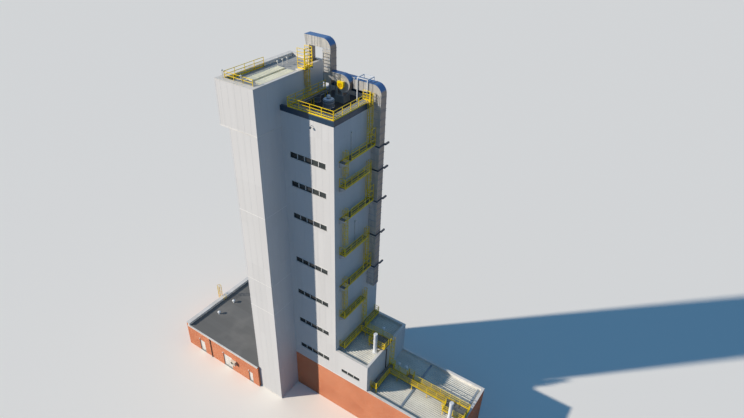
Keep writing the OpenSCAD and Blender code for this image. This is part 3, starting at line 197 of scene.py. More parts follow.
def geometry_tree(name, inputs):
    """A Geometry Nodes tree with one geometry output, the named inputs and a material, and their sockets."""
    tree = bpy.data.node_groups.new(name, "GeometryNodeTree")
    tree.interface.new_socket("Geometry", in_out="OUTPUT", socket_type="NodeSocketGeometry")
    for label, kind in {**inputs, "Material": "Material"}.items():
        tree.interface.new_socket(label, in_out="INPUT", socket_type="NodeSocket" + kind)
    return tree, add(tree, "NodeGroupInput").outputs


def end_tree(tree, shapes, material):
    """Makes the tree's copies real and gives them their material."""
    real = add(tree, "GeometryNodeRealizeInstances", Geometry=shapes)
    done = add(tree, "GeometryNodeSetMaterial", Geometry=real, Material=material)
    add(tree, "NodeGroupOutput", Geometry=done)
    return tree


def bar_row_tree():
    """A straight row of like bars."""
    tree, given = geometry_tree("bar_row", {"Bar Size": "Vector", "First Centre": "Vector", "Step": "Vector",
                                            "Bars": "Int"})
    line = add(tree, "GeometryNodeMeshLine", {"mode": "OFFSET"}, Count=given["Bars"],
               Start_Location=given["First Centre"], Offset=given["Step"])
    bar = add(tree, "GeometryNodeMeshCube", Size=given["Bar Size"])
    placed = add(tree, "GeometryNodeInstanceOnPoints", Points=line, Instance=bar)
    return end_tree(tree, placed, given["Material"])


bar_row = bar_row_tree()


def as_mesh(tree, inputs):
    """The plain mesh that a Geometry Nodes tree makes from the named inputs, off-white until its piece gives
    it another material."""
    maker = bpy.data.objects.new("maker", bpy.data.meshes.new("maker"))
    scene.collection.objects.link(maker)
    modifier = maker.modifiers.new("maker", "NODES")
    modifier.node_group = tree
    for item in tree.interface.items_tree:
        if item.in_out == "INPUT":
            modifier[item.identifier] = inputs.get(item.name, off_white)
    evaluated = maker.evaluated_get(bpy.context.evaluated_depsgraph_get())
    mesh = bpy.data.meshes.new_from_object(evaluated)
    bpy.data.objects.remove(maker)
    return mesh


def row(size, first, step=(0, 0, 0), count=1):
    """A row of count bars of one size; first is the first bar's centre."""
    return as_mesh(bar_row, {"Bar Size": Vector(size), "First Centre": Vector(first), "Step": Vector(step),
                             "Bars": count})


def slab(low, high):
    """One bar from its lowest to its highest corner."""
    low, high = Vector(low), Vector(high)
    return row(high - low, (low + high) / 2)


def piece(name, meshes, material, body="building"):
    """Joins meshes into one object at the origin, which rides on a body."""
    joined = bmesh.new()
    for mesh in meshes:
        joined.from_mesh(mesh)
        bpy.data.meshes.remove(mesh)
    data = bpy.data.meshes.new(name)
    joined.to_mesh(data)
    joined.free()
    data.materials.clear()
    data.materials.append(material)
    thing = bpy.data.objects.new(name, data)
    scene.collection.objects.link(thing)
    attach(thing, body)


def solids(node):
    """The lowest and highest corner of each solid in a node, from the lowest up."""
    welded = bmesh.new()
    welded.from_mesh(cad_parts[node].data)
    bmesh.ops.remove_doubles(welded, verts=welded.verts, dist=1e-5)
    left, found = set(welded.verts), []
    while left:
        stack, group = [left.pop()], []
        while stack:
            vert = stack.pop()
            group.append(vert.co.copy())
            for edge in vert.link_edges:
                other = edge.other_vert(vert)
                if other in left:
                    left.remove(other)
                    stack.append(other)
        found.append((Vector([min(p[i] for p in group) for i in range(3)]),
                      Vector([max(p[i] for p in group) for i in range(3)])))
    welded.free()
    return sorted(found, key=lambda box: [round(v, 3) for v in (box[0].z, box[0].x, box[0].y)])


joint_w, joint_out, joint_margin = 0.016, 0.003, 0.1


def joints_on_front(x0, x1, y, z0, z1, out=-1):
    """Joint covers on a wall that faces along Y, between two heights."""
    count = int((x1 - x0 - joint_margin) / panel_w)
    first = x0 + (x1 - x0 - (count - 1) * panel_w) / 2
    return row((joint_w, joint_out, z1 - z0), (first, y + out * joint_out / 2, (z0 + z1) / 2),
               (panel_w, 0, 0), count)


def joints_on_side(y0, y1, x, z0, z1, out=1):
    """Joint covers on a wall that faces along X, between two heights."""
    count = int((y1 - y0 - joint_margin) / panel_w)
    first = y0 + (y1 - y0 - (count - 1) * panel_w) / 2
    return row((joint_out, joint_w, z1 - z0), (x + out * joint_out / 2, first, (z0 + z1) / 2),
               (0, panel_w, 0), count)


front_low, front_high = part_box("shaft_front_wall")
head_low, head_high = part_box("head_cross_walls")
main_low, main_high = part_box("main_front_wall")
rear_low, rear_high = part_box("main_rear_wall")
step_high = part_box("step_right_wall")[1]
plinth_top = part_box("plinth_walls")[1].z
annex_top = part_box("annex_roof")[1].z
window_strips = [box for box in solids("window_glass") if box[0].x < main_high.x]
strip_edges = [plinth_top] + [z for low, high in window_strips for z in (low.z, high.z)] + [main_high.z]
covers = [joints_on_front(front_low.x, front_high.x, front_low.y, 0, head_low.z),
          joints_on_front(head_low.x, front_high.x, front_low.y, head_low.z, head_high.z),
          joints_on_side(front_low.y, main_low.y, front_high.x, 0, head_high.z),
          joints_on_side(front_low.y, head_high.y, front_low.x, annex_top, head_low.z, -1),
          joints_on_side(front_low.y, head_high.y, head_low.x, head_low.z, head_high.z, -1),
          joints_on_side(main_low.y, rear_high.y, main_high.x, step_high.z, main_high.z),
          joints_on_front(rear_low.x, rear_high.x, rear_high.y, plinth_top, main_high.z, 1),
          joints_on_front(head_low.x, rear_low.x, head_high.y, head_low.z, head_high.z, 1),
          joints_on_side(main_low.y, rear_high.y, step_high.x, plinth_top, step_high.z),
          joints_on_front(main_high.x, step_high.x, rear_high.y, plinth_top, step_high.z, 1)]
for bottom, upper in zip(strip_edges[::2], strip_edges[1::2]):
    covers.append(joints_on_front(front_high.x, main_high.x, main_low.y, bottom, upper))
piece("panel_joint_covers", covers, off_white)

angle_w, angle_t = 0.04, 0.003
corners = []
for x, y, out_x, out_y, z0, z1 in (
        (front_low.x, front_low.y, -1, -1, 0, head_low.z), (front_high.x, front_low.y, 1, -1, 0, head_high.z),
        (head_low.x, head_low.y, -1, -1, head_low.z, head_high.z),
        (head_low.x, head_high.y, -1, 1, head_low.z, head_high.z),
        (main_high.x, main_low.y, 1, -1, plinth_top, main_high.z),
        (main_high.x, rear_high.y, 1, 1, step_high.z, main_high.z),
        (rear_low.x, rear_high.y, -1, 1, plinth_top, main_high.z),
        (step_high.x, main_low.y, 1, -1, plinth_top, step_high.z),
        (step_high.x, rear_high.y, 1, 1, plinth_top, step_high.z)):
    middle, tall = (z0 + z1) / 2, z1 - z0
    corners.append(row((angle_w, angle_t, tall), (x - out_x * angle_w / 2, y + out_y * angle_t / 2, middle)))
    corners.append(row((angle_t, angle_w, tall), (x + out_x * angle_t / 2, y - out_y * angle_w / 2, middle)))
piece("corner_angles", corners, off_white)


# Windows: strips of fixed lights in dark aluminium frames, one grey pane behind each gap; the white bars
# that part the panes are pressed into the frame, and a folded sill throws the rain off the sheet below
def enamel(name, fresh, faded, stain, gloss, spots=0.0):
    """Sprayed or baked paint on metal: its tone drifts in broad clouds, thin runs darken it from the top
    down, stained spots break through where it has worn, and an orange peel, drawn at 8 mm so that it shows,
    softens its gloss."""
    material, tree, place = blank_material(name)
    cloud = add(tree, "ShaderNodeTexNoise", Vector=place, Scale=0.9, Detail=2)
    drift = add(tree, "ShaderNodeMapRange", Value=cloud, From_Min=0.38, From_Max=0.68)
    base = add(tree, "ShaderNodeMix", {"data_type": "RGBA"}, Factor=drift, A=colour(fresh), B=colour(faded))
    tall = add(tree, "ShaderNodeMapping", Vector=place, Scale=(9, 9, 1))
    runs = add(tree, "ShaderNodeTexNoise", Vector=tall, Scale=1, Detail=4)
    run_share = add(tree, "ShaderNodeMapRange", Value=runs, From_Min=0.55, From_Max=0.8, To_Max=0.4)
    streaked = add(tree, "ShaderNodeMix", {"data_type": "RGBA"}, Factor=run_share, A=base, B=colour(stain))
    worn_at = add(tree, "ShaderNodeTexNoise", Vector=place, Scale=11, Detail=5)
    spot_share = add(tree, "ShaderNodeMapRange", Value=worn_at, From_Min=0.6, From_Max=0.68, To_Max=spots)
    tone = add(tree, "ShaderNodeMix", {"data_type": "RGBA"}, Factor=spot_share, A=streaked, B=colour(stain))
    peel = add(tree, "ShaderNodeTexNoise", Vector=place, Scale=120, Detail=2)
    bump = add(tree, "ShaderNodeBump", Strength=0.12, Distance=0.001, Height=peel)
    skin = add(tree, "ShaderNodeBsdfPrincipled", Base_Color=tone, Roughness=gloss, Normal=bump)
    add(tree, "ShaderNodeOutputMaterial", Surface=skin)
    return material


pane_w = 0.51


def float_glass():
    """Grey float glass, smooth, with a clear soft reflection; the shade of the unlit rooms behind it is
    painted into its colour, nearly black, each pane a little lighter or darker by what stands behind it."""
    material, tree, place = blank_material("grey_float_glass")
    cell = (pane_w, 4, 2.4)
    panes = add(tree, "ShaderNodeVectorMath", {"operation": "DIVIDE"}, _0=place, _1=cell)
    whole = add(tree, "ShaderNodeVectorMath", {"operation": "FLOOR"}, _0=panes)
    chance = add(tree, "ShaderNodeTexWhiteNoise", Vector=whole)
    # Painted shade: the dark of the unlit rooms behind the panes
    tone = add(tree, "ShaderNodeMix", {"data_type": "RGBA"}, Factor=chance, A=colour("#171d1e"),
               B=colour("#343c3b"))
    skin = add(tree, "ShaderNodeBsdfPrincipled", Base_Color=tone, Roughness=0.07, IOR=1.52)
    add(tree, "ShaderNodeOutputMaterial", Surface=skin)
    return material


powder_coat = enamel("white_powder_coat", "#e9e8e4", "#dddbd5", "#a9a69d", 0.35)
dress(enamel("anthracite_powder_coat", "#33393b", "#3c4345", "#24282a", 0.4), "window_frames")
dress(float_glass(), "window_glass")
bar_w, frame_w, sill_h, sill_out, sill_end = 0.04, 0.04, 0.012, 0.03, 0.03
bars, sills = [], []
frame_front, frame_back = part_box("window_frames")[0].y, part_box("window_frames")[1].y
for low, high in solids("window_glass"):
    panes = round((high.x - low.x) / pane_w)
    pitch = (high.x - low.x) / panes
    bars.append(row((bar_w, frame_back - frame_front, high.z - low.z - 2 * frame_w),
                    (low.x + pitch, (frame_front + frame_back) / 2, (low.z + high.z) / 2),
                    (pitch, 0, 0), panes - 1))
    for z, out in ((low.z - sill_h, sill_out), (high.z, sill_out / 2)):
        sills.append(slab((low.x - sill_end, main_low.y - out, z),
                          (high.x + sill_end, main_low.y, z + sill_h)))
piece("window_bars", bars, powder_coat)
piece("window_sills", sills, powder_coat)


# Masonry: the plinth, the hall and the annex have walls of orange clay brick, laid in running bond. Folded
# drip sheets end the cladding above them, and white strips fill the cladding's two level joints
def brickwork():
    """Fired clay brick: dry and matt, each brick burnt to a tone of its own, between paler mortar. Bricks
    are 108 by 38 mm here with their joints."""
    material, tree, place = blank_material("orange_clay_brick")
    split = add(tree, "ShaderNodeSeparateXYZ", Vector=place)
    along = add(tree, "ShaderNodeMath", {"operation": "ADD"}, _0=split.outputs["X"], _1=split.outputs["Y"])
    flat = add(tree, "ShaderNodeCombineXYZ", X=along, Y=split.outputs["Z"])
    wall = add(tree, "ShaderNodeTexBrick", {"offset": 0.5}, Vector=flat, Color1=colour("#e78655"),
               Color2=colour("#d16a3f"), Mortar=colour("#dba988"), Scale=1, Mortar_Size=0.005,
               Brick_Width=0.108, Row_Height=0.038)
    cloud = add(tree, "ShaderNodeTexNoise", Vector=place, Scale=0.5, Detail=3)
    soot = add(tree, "ShaderNodeMapRange", Value=cloud, From_Min=0.4, From_Max=0.75, To_Max=0.4)
    tone = add(tree, "ShaderNodeMix", {"data_type": "RGBA"}, Factor=soot, A=wall, B=colour("#ad5735"))
    grain = add(tree, "ShaderNodeTexNoise", Vector=place, Scale=60, Detail=3)
    rough = add(tree, "ShaderNodeBump", Strength=0.4, Distance=0.002, Height=grain)
    joints = add(tree, "ShaderNodeBump", {"invert": True}, Strength=0.6, Distance=0.004,
                 Height=wall.outputs["Fac"], Normal=rough)
    skin = add(tree, "ShaderNodeBsdfPrincipled", Base_Color=tone, Roughness=0.88, Normal=joints)
    add(tree, "ShaderNodeOutputMaterial", Surface=skin)
    return material


dress(brickwork(), "plinth_walls", "hall_right_wall", "annex_front_piers", "annex_lintels", "annex_left_wall",
      "annex_rear_wall")
cap_sheet = enamel("folded_cap_sheet", "#e6e3dd", "#d6d3cc", "#a39f96", 0.42)
drip_h, drip_out, foot_drip_z = 0.05, 0.016, 0.04
drips = []
for low, high, z in (((front_low.x, front_low.y), (front_high.x, head_high.y), foot_drip_z),
                     ((main_low.x, main_low.y), (step_high.x, rear_high.y), plinth_top),
                     ((head_low.x, head_low.y), (front_high.x, main_low.y), head_low.z)):
    z1 = z + drip_h
    drips.append(slab((low[0] - drip_out, low[1] - drip_out, z), (high[0] + drip_out, low[1], z1)))
    drips.append(slab((high[0], low[1], z), (high[0] + drip_out, min(high[1], main_low.y), z1)))
    if z != plinth_top:
        drips.append(slab((low[0] - drip_out, low[1], z), (low[0], head_high.y, z1)))
piece("wall_drips", drips, cap_sheet)

# The shaft's two joints are grooves in its front wall, at the heights that lie between its foot and top
groove_z = sorted({round(v.co.z, 3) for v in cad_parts["shaft_front_wall"].data.vertices})[1:-1]
joint_paint = enamel("white_joint_paint", "#f8f7f3", "#efede7", "#c9c6bd", 0.4)
strip_out = 0.006
left_x, right_x, shaft_y = front_low.x, front_high.x, front_low.y
joint_lines = []
for z0, z1 in zip(groove_z[::2], groove_z[1::2]):
    joint_lines.append(slab((left_x - strip_out, shaft_y - strip_out, z0),
                            (right_x + strip_out, shaft_y, z1)))
    joint_lines.append(slab((right_x, shaft_y, z0), (right_x + strip_out, main_low.y, z1)))
    joint_lines.append(slab((left_x - strip_out, shaft_y, z0), (left_x, head_high.y, z1)))
piece("joint_strips", joint_lines, joint_paint)


# Parapet caps: folded sheet over the walls' tops, in lengths of 1.5 m that meet under splice plates, with
# a lining of the same sheet down the parapets' inner faces
dress(cap_sheet, "cross_caps", "side_caps")
splice_w, splice_t, cap_length = 0.07, 0.004, 1.5


def bars_across(low, high, width, thick, pitch, over, margin=0):
    """Bars across the top of a level strip, spread along its longer side. They stand over its edges by half
    of over, and together leave a margin at its ends."""
    size = high - low
    along = 0 if size.x > size.y else 1
    count = max(1, int((size[along] - margin) / pitch))
    bar, step = [0, 0, thick], [0, 0, 0]
    bar[along], bar[1 - along], step[along] = width, size[1 - along] + over, pitch
    first = (low + high) / 2
    first[along] -= (count - 1) * pitch / 2
    first.z = high.z + thick / 2
    return row(bar, first, step, count)


long_caps = [box for box in solids("cross_caps") + solids("side_caps") if max(box[1] - box[0]) >= cap_length]
splices = [bars_across(low, high, splice_w, splice_t, cap_length, splice_t) for low, high in long_caps]
piece("cap_splices", splices, cap_sheet)

lining_t = 0.004
linings = []
for low, high in solids("low_roofs"):
    rim_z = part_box("hall_right_wall")[1].z if high.x > step_high.x else step_high.z
    for y, out in ((low.y, 1), (high.y, -1)):
        linings.append(slab((low.x, min(y, y + out * lining_t), high.z),
                            (high.x, max(y, y + out * lining_t), rim_z)))
    linings.append(slab((high.x - lining_t, low.y, high.z), (high.x, high.y, rim_z)))
piece("parapet_linings", linings, cap_sheet)


# Roofs: bitumen felt rolled out in lapped sheets, darker on the main block as painted shade, old and pale
# on the annex, where a folded strip ends it at the eaves; pale profiled sheet on the low blocks, and grey
# sheet under two raised pale strips on the shaft
lap_w, lap_t, lap_pitch, lap_margin, first_lap, lap_end = 0.05, 0.004, 0.55, 0.2, 0.3, 0.02


def roofing_felt(name, dark, pale, dried_tone):
    """Bitumen felt with slate granules: dull and dark, each roll a shade apart, with paler patches where
    standing water dried. The 1 mm grit is drawn at 15 mm so that it shows."""
    material, tree, place = blank_material(name)
    cell = (20, lap_pitch, 5)
    rolls = add(tree, "ShaderNodeVectorMath", {"operation": "DIVIDE"}, _0=place, _1=cell)
    whole = add(tree, "ShaderNodeVectorMath", {"operation": "FLOOR"}, _0=rolls)
    chance = add(tree, "ShaderNodeTexWhiteNoise", Vector=whole)
    base = add(tree, "ShaderNodeMix", {"data_type": "RGBA"}, Factor=chance, A=colour(dark), B=colour(pale))
    pool = add(tree, "ShaderNodeTexNoise", Vector=place, Scale=0.5, Detail=5)
    dried = add(tree, "ShaderNodeMapRange", Value=pool, From_Min=0.5, From_Max=0.66, To_Max=0.5)
    tone = add(tree, "ShaderNodeMix", {"data_type": "RGBA"}, Factor=dried, A=base, B=colour(dried_tone))
    grit = add(tree, "ShaderNodeTexNoise", Vector=place, Scale=65, Detail=2)
    bump = add(tree, "ShaderNodeBump", Strength=0.4, Distance=0.002, Height=grit)
    skin = add(tree, "ShaderNodeBsdfPrincipled", Base_Color=tone, Roughness=0.93, Normal=bump)
    add(tree, "ShaderNodeOutputMaterial", Surface=skin)
    return material


felt = roofing_felt("bitumen_felt", "#696967", "#70706e", "#84827e")
# The main roof's felt and its laps are darker as painted shade
felt_with_painted_shade = roofing_felt("bitumen_felt_painted_shade", "#34393f", "#3b4046", "#4a4e52")
dress(felt, "annex_roof")
dress(felt_with_painted_shade, "main_roof")
roof_sheet = enamel("pale_roof_sheet", "#e0ded4", "#cfcdc3", "#9c9a90", 0.6, spots=0.35)
dress(roof_sheet, "low_roofs")
dress(enamel("greenish_roof_sheet", "#e6e4cd", "#d6d5bd", "#9c9d84", 0.6), "shaft_roof_strips")
dress(enamel("grey_roof_sheet", "#a9abaa", "#989a99", "#76787a", 0.7, spots=0.4), "shaft_roof")
dress(enamel("blue_grey_flashing", "#8b99a6", "#7c8996", "#5f6a74", 0.5), "roof_ribs")
for node, name, tone in (("main_roof", "main_felt_laps", felt_with_painted_shade), ("annex_roof", "annex_felt_laps", felt)):
    low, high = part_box(node)
    lap = row((high.x - low.x - 2 * lap_end, lap_w, lap_t),
              ((low.x + high.x) / 2, low.y + first_lap, high.z + lap_t / 2),
              (0, lap_pitch, 0), int((high.y - low.y - lap_margin) / lap_pitch))
    piece(name, [lap], tone)

seam_w, seam_h, seam_pitch, seam_margin, first_seam, seam_end = 0.05, 0.035, 0.15, 0.1, 0.08, 0.01
seams = []
for low, high in solids("low_roofs"):
    seams.append(row((high.x - low.x - 2 * seam_end, seam_w, seam_h),
                     ((low.x + high.x) / 2, low.y + first_seam, high.z + seam_h / 2),
                     (0, seam_pitch, 0), int((high.y - low.y - seam_margin) / seam_pitch)))
piece("low_roof_ribs", seams, roof_sheet)

low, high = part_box("annex_roof")
eave_w, eave_t, eave_drop = 0.09, 0.005, 0.03
eaves = []
for y, out in ((low.y, -1), (high.y, 1)):
    eaves.append(slab((low.x, min(y, y - out * eave_w), high.z),
                      (high.x, max(y, y - out * eave_w), high.z + eave_t)))
    eaves.append(slab((low.x, min(y, y + out * eave_t), low.z - eave_drop),
                      (high.x, max(y, y + out * eave_t), high.z + eave_t)))
piece("eave_strips", eaves, cap_sheet)


# Floors and the fan's plinth: concrete poured into timber forms and trowelled flat, then left bare, so
# that it has dried in clouds
def concrete():
    """Cast concrete: grey and dry, with paler clouds of laitance and fine open pores."""
    material, tree, place = blank_material("cast_concrete")
    cloud = add(tree, "ShaderNodeTexNoise", Vector=place, Scale=1.2, Detail=5)
    share = add(tree, "ShaderNodeMapRange", Value=cloud, From_Min=0.35, From_Max=0.7)
    tone = add(tree, "ShaderNodeMix", {"data_type": "RGBA"}, Factor=share, A=colour("#8b8b88"),
               B=colour("#a5a39d"))
    pores = add(tree, "ShaderNodeTexNoise", Vector=place, Scale=40, Detail=2)
    bump = add(tree, "ShaderNodeBump", Strength=0.3, Distance=0.002, Height=pores)
    skin = add(tree, "ShaderNodeBsdfPrincipled", Base_Color=tone, Roughness=0.85, Normal=bump)
    add(tree, "ShaderNodeOutputMaterial", Surface=skin)
    return material


dress(concrete(), "main_floors", "ground_floors", "fan_plinth")


# Yellow steelwork: rails with toe boards, ladders and their cages, platform beams, catwalk legs and the
# fan's guard, welded from tube and flat bar and bolted to the decks and walls
yellow = enamel("safety_yellow_enamel", "#ffdd00", "#f4cd00", "#96701a", 0.38, spots=0.4)
dress(yellow, "roof_rails", "platform_rails", "platform_beams", "ladders", "cage_straps", "cage_hoops",
      "fan_guard", "catwalk_rails", "catwalk_legs")


# Platforms and catwalks: galvanised grating, pressed into edge beams on tapered brackets that are bolted
# to the wall
def hot_dip_zinc():
    """Hot-dip galvanised steel: a dull silver-grey skin of zinc, in spangles of differing tone. The
    spangles, 10 mm across, are drawn at 35 mm so that they show."""
    material, tree, place = blank_material("hot_dip_zinc")
    spangle = add(tree, "ShaderNodeTexVoronoi", Vector=place, Scale=28)
    tone = add(tree, "ShaderNodeMix", {"data_type": "RGBA"}, Factor=spangle, A=colour("#c6cacb"),
               B=colour("#a6abad"))
    dull = add(tree, "ShaderNodeTexNoise", Vector=place, Scale=2, Detail=3)
    share = add(tree, "ShaderNodeMapRange", Value=dull, From_Min=0.42, From_Max=0.7, To_Max=0.5)
    aged = add(tree, "ShaderNodeMix", {"data_type": "RGBA"}, Factor=share, A=tone, B=colour("#8e9292"))
    skin = add(tree, "ShaderNodeBsdfPrincipled", Base_Color=aged, Roughness=0.52, Metallic=0.35)
    add(tree, "ShaderNodeOutputMaterial", Surface=skin)
    return material


zinc = hot_dip_zinc()
dress(zinc, "platform_brackets")
# The solid decks are painted dark as painted shade: the depth that shows through open grating, and on the
# roof walkway also the tower's shadow; the bars lie on them
dress(enamel("shaded_grating", "#545a5c", "#474d50", "#2f3436", 0.7), "platform_decks", "catwalk_decks",
      "roof_walkway")
grate_pitch, grate_t, grate_h, grate_margin, grate_gap = 0.06, 0.012, 0.008, 0.04, 0.01
decks = solids("platform_decks") + solids("roof_walkway") + solids("catwalk_decks")
grates = [bars_across(low, high, grate_t, grate_h, grate_pitch, -grate_gap, grate_margin)
          for low, high in decks]
piece("grating_bars", grates, zinc)


# Navy steelwork: the folded fascia round the main roof, in lengths that meet under cover strips, its dark
# navy in part painted shade under the walkway's edge, and the arms that hold the riser off the wall
navy = enamel("navy_enamel", "#0c2f49", "#143b56", "#081f31", 0.4)
dress(navy, "roof_fascia", "duct_brackets")
fascia_low, fascia_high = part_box("roof_fascia")
strip_w, strip_t, fascia_pitch, first_cover = 0.05, 0.005, 0.9, 0.5
fascia_mid, fascia_h = (fascia_low.z + fascia_high.z) / 2, fascia_high.z - fascia_low.z
fascia_seams = [
    row((strip_w, strip_t, fascia_h), (front_high.x + first_cover, fascia_low.y - strip_t / 2, fascia_mid),
        (fascia_pitch, 0, 0), int((fascia_high.x - front_high.x - first_cover) / fascia_pitch) + 1),
    row((strip_t, strip_w, fascia_h), (fascia_high.x + strip_t / 2, fascia_low.y + first_cover, fascia_mid),
        (0, fascia_pitch, 0), int((fascia_high.y - fascia_low.y - first_cover) / fascia_pitch) + 1)]
piece("fascia_covers", fascia_seams, navy)


# Ducts: folded aluminium-coated sheet round the draught, stiffened by angles every 0.3 to 0.44 m and
# bolted together at flanges; their tops are painted blue as a painted reflection of the sky
def duct_sheet():
    """Rolled aluminium-coated steel: silvery with a soft brushed gleam and shallow dents. Upward faces are
    painted blue, a painted reflection of the sky, and faces turned to +X brown-grey in slanting bands as
    painted shade."""
    material, tree, place = blank_material("aluminised_duct_sheet")
    brush = add(tree, "ShaderNodeMapping", Vector=place, Scale=(5, 5, 0.8))
    streak = add(tree, "ShaderNodeTexNoise", Vector=brush, Scale=1, Detail=4)
    share = add(tree, "ShaderNodeMapRange", Value=streak, From_Min=0.35, From_Max=0.7)
    bare = add(tree, "ShaderNodeMix", {"data_type": "RGBA"}, Factor=share, A=colour("#d6d3ce"),
               B=colour("#b6b6b4"))
    facing = add(tree, "ShaderNodeSeparateXYZ", Vector=add(tree, "ShaderNodeNewGeometry").outputs["Normal"])
    # Painted shade: faces turned to +X are painted brown-grey in slanting bands, warmed by the ground they
    # reflect
    painted_shade_side = add(tree, "ShaderNodeMapRange", Value=facing.outputs["X"], From_Min=0.6, From_Max=0.95,
              To_Max=0.85)
    shade_stripes = add(tree, "ShaderNodeTexWave", {"wave_type": "BANDS", "bands_direction": "DIAGONAL"},
                 Vector=place, Scale=5, Distortion=1.5)
    shade_stripe_tone = add(tree, "ShaderNodeMix", {"data_type": "RGBA"}, Factor=shade_stripes, A=colour("#7c6a5d"),
               B=colour("#958a82"))
    bare_and_painted_shade = add(tree, "ShaderNodeMix", {"data_type": "RGBA"}, Factor=painted_shade_side, A=bare, B=shade_stripe_tone)
    # Painted reflection: upward faces are painted blue for the sky that shines in them
    painted_sky_top = add(tree, "ShaderNodeMapRange", Value=facing.outputs["Z"], From_Min=0.25, From_Max=0.45)
    tone = add(tree, "ShaderNodeMix", {"data_type": "RGBA"}, Factor=painted_sky_top, A=bare_and_painted_shade, B=colour("#1468a8"))
    dents = add(tree, "ShaderNodeTexNoise", Vector=place, Scale=5, Detail=1)
    bump = add(tree, "ShaderNodeBump", Strength=0.35, Distance=0.006, Height=dents)
    skin = add(tree, "ShaderNodeBsdfPrincipled", Base_Color=tone, Roughness=0.4, Metallic=0.3, Normal=bump)
    add(tree, "ShaderNodeOutputMaterial", Surface=skin)
    return material


aluminised = duct_sheet()
dress(aluminised, "duct_arch", "duct_riser", "roof_duct", "fan_casing")
duct_w, flange_out, end_gap = 0.56, 0.02, 0.1


def collars(low, high, along, pitch, width=0.03, out=0.014):
    """Stiffening angles round a straight duct between two corners, every pitch along it."""
    count = int((high[along] - low[along] - end_gap) / pitch) + 1
    across = [i for i in range(3) if i != along]
    meshes = []
    for a, b in (across, across[::-1]):
        for face in (low[a] - out / 2, high[a] + out / 2):
            size, first, step = [0, 0, 0], [0, 0, 0], [0, 0, 0]
            size[along], size[a], size[b] = width, out, high[b] - low[b] + 2 * out
            first[along] = (low[along] + high[along] - (count - 1) * pitch) / 2
            first[a], first[b] = face, (low[b] + high[b]) / 2
            step[along] = pitch
            meshes.append(row(size, first, step, count))
    return meshes


upright_pitch, level_pitch, arch_pitch = 0.44, 0.3, 0.2
riser_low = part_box("duct_riser")[0]
arch_low, arch_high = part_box("duct_arch")
roof_runs = solids("roof_duct")
level_z = min(low.z for low, high in roof_runs)
riser_x, riser_y = riser_low.x, riser_low.y + flange_out
leg_x, leg_y = arch_high.x - flange_out - duct_w, arch_low.y + flange_out
angles = collars((riser_x, riser_y, riser_low.z), (riser_x + duct_w, riser_y + duct_w, level_z), 2,
                 upright_pitch)
angles += collars((leg_x, leg_y, level_z), (leg_x + duct_w, leg_y + duct_w, arch_high.z - duct_w - end_gap),
                  2, upright_pitch)
for low, high in roof_runs:
    angles += collars(low, high, 0, level_pitch)
band_w, band_out, first_band = 0.02, 0.01, 0.16
angles.append(row((band_w, band_out, duct_w),
                  (arch_low.x + first_band, leg_y - band_out / 2, arch_high.z - duct_w / 2),
                  (arch_pitch, 0, 0), int((leg_x - arch_low.x) / arch_pitch)))
piece("duct_angles", angles, aluminised)


# Fan: a welded scroll on two feet, its flat side stiffened by upright bars; the yellow guard over its
# inlet is closed by a grille of welded rings and spokes
def bolt_circle_tree():
    """Hexagon bolt heads on a circle that is turned to its axis."""
    tree, given = geometry_tree("bolt_circle", {"Circle Radius": "Float", "Bolts": "Int",
                                                "Head Radius": "Float", "Head Height": "Float",
                                                "Centre": "Vector", "Turn": "Vector"})
    circle = add(tree, "GeometryNodeMeshCircle", Vertices=given["Bolts"], Radius=given["Circle Radius"])
    head = add(tree, "GeometryNodeMeshCylinder", Vertices=6, Radius=given["Head Radius"],
               Depth=given["Head Height"])
    placed = add(tree, "GeometryNodeInstanceOnPoints", Points=circle, Instance=head)
    turned = add(tree, "GeometryNodeTransform", Geometry=placed, Translation=given["Centre"],
                 Rotation=given["Turn"])
    return end_tree(tree, turned, given["Material"])


def ring_tree():
    """A ring of round bar, turned to its axis."""
    tree, given = geometry_tree("round_ring", {"Ring Radius": "Float", "Bar Radius": "Float",
                                               "Centre": "Vector", "Turn": "Vector"})
    path = add(tree, "GeometryNodeCurvePrimitiveCircle", Resolution=32, Radius=given["Ring Radius"])
    bar = add(tree, "GeometryNodeCurvePrimitiveCircle", Resolution=6, Radius=given["Bar Radius"])
    ring = add(tree, "GeometryNodeCurveToMesh", Curve=path, Profile_Curve=bar)
    turned = add(tree, "GeometryNodeTransform", Geometry=ring, Translation=given["Centre"],
                 Rotation=given["Turn"])
    return end_tree(tree, turned, given["Material"])


bolt_circle, round_ring = bolt_circle_tree(), ring_tree()
flat, facing_front = Vector((0, 0, 0)), Vector((math.pi / 2, 0, 0))
head_h = 0.012


def bolts(centre, radius, count, head_r=0.011, turn=flat):
    """A circle of bolt heads."""
    return as_mesh(bolt_circle, {"Circle Radius": radius, "Bolts": count, "Head Radius": head_r,
                                 "Head Height": head_h, "Centre": Vector(centre), "Turn": turn})


def ring(centre, radius, bar, turn=flat):
    """A ring of round bar."""
    return as_mesh(round_ring, {"Ring Radius": radius, "Bar Radius": bar, "Centre": Vector(centre),
                                "Turn": turn})


hub_l, hub_clear, scroll_up, scroll_down = 0.07, 0.24, 0.54, 0.41
guard_low, guard_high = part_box("fan_guard")
guard_r = (guard_high.x - guard_low.x) / 2
fan_x, fan_z = guard_low.x + guard_r, guard_low.z + guard_r
face_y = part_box("fan_casing")[0].y + hub_l
stiff_w, stiff_t, stiff_pitch = 0.016, 0.014, 0.1
stiffeners = []
for i in range(-3, 4):
    dx = i * stiff_pitch
    inner = math.sqrt(max(0, hub_clear ** 2 - dx ** 2))
    for reach, up in ((scroll_up, 1), (scroll_down, -1)):
        outer = math.sqrt(reach ** 2 - dx ** 2)
        stiffeners.append(row((stiff_w, stiff_t, outer - inner),
                              (fan_x + dx, face_y - stiff_t / 2, fan_z + up * (inner + outer) / 2)))
bolt_in = 0.02
stiffeners.append(bolts((fan_x, face_y - head_h / 2, fan_z), hub_clear - bolt_in, 12, turn=facing_front))
piece("fan_stiffeners", stiffeners, aluminised)


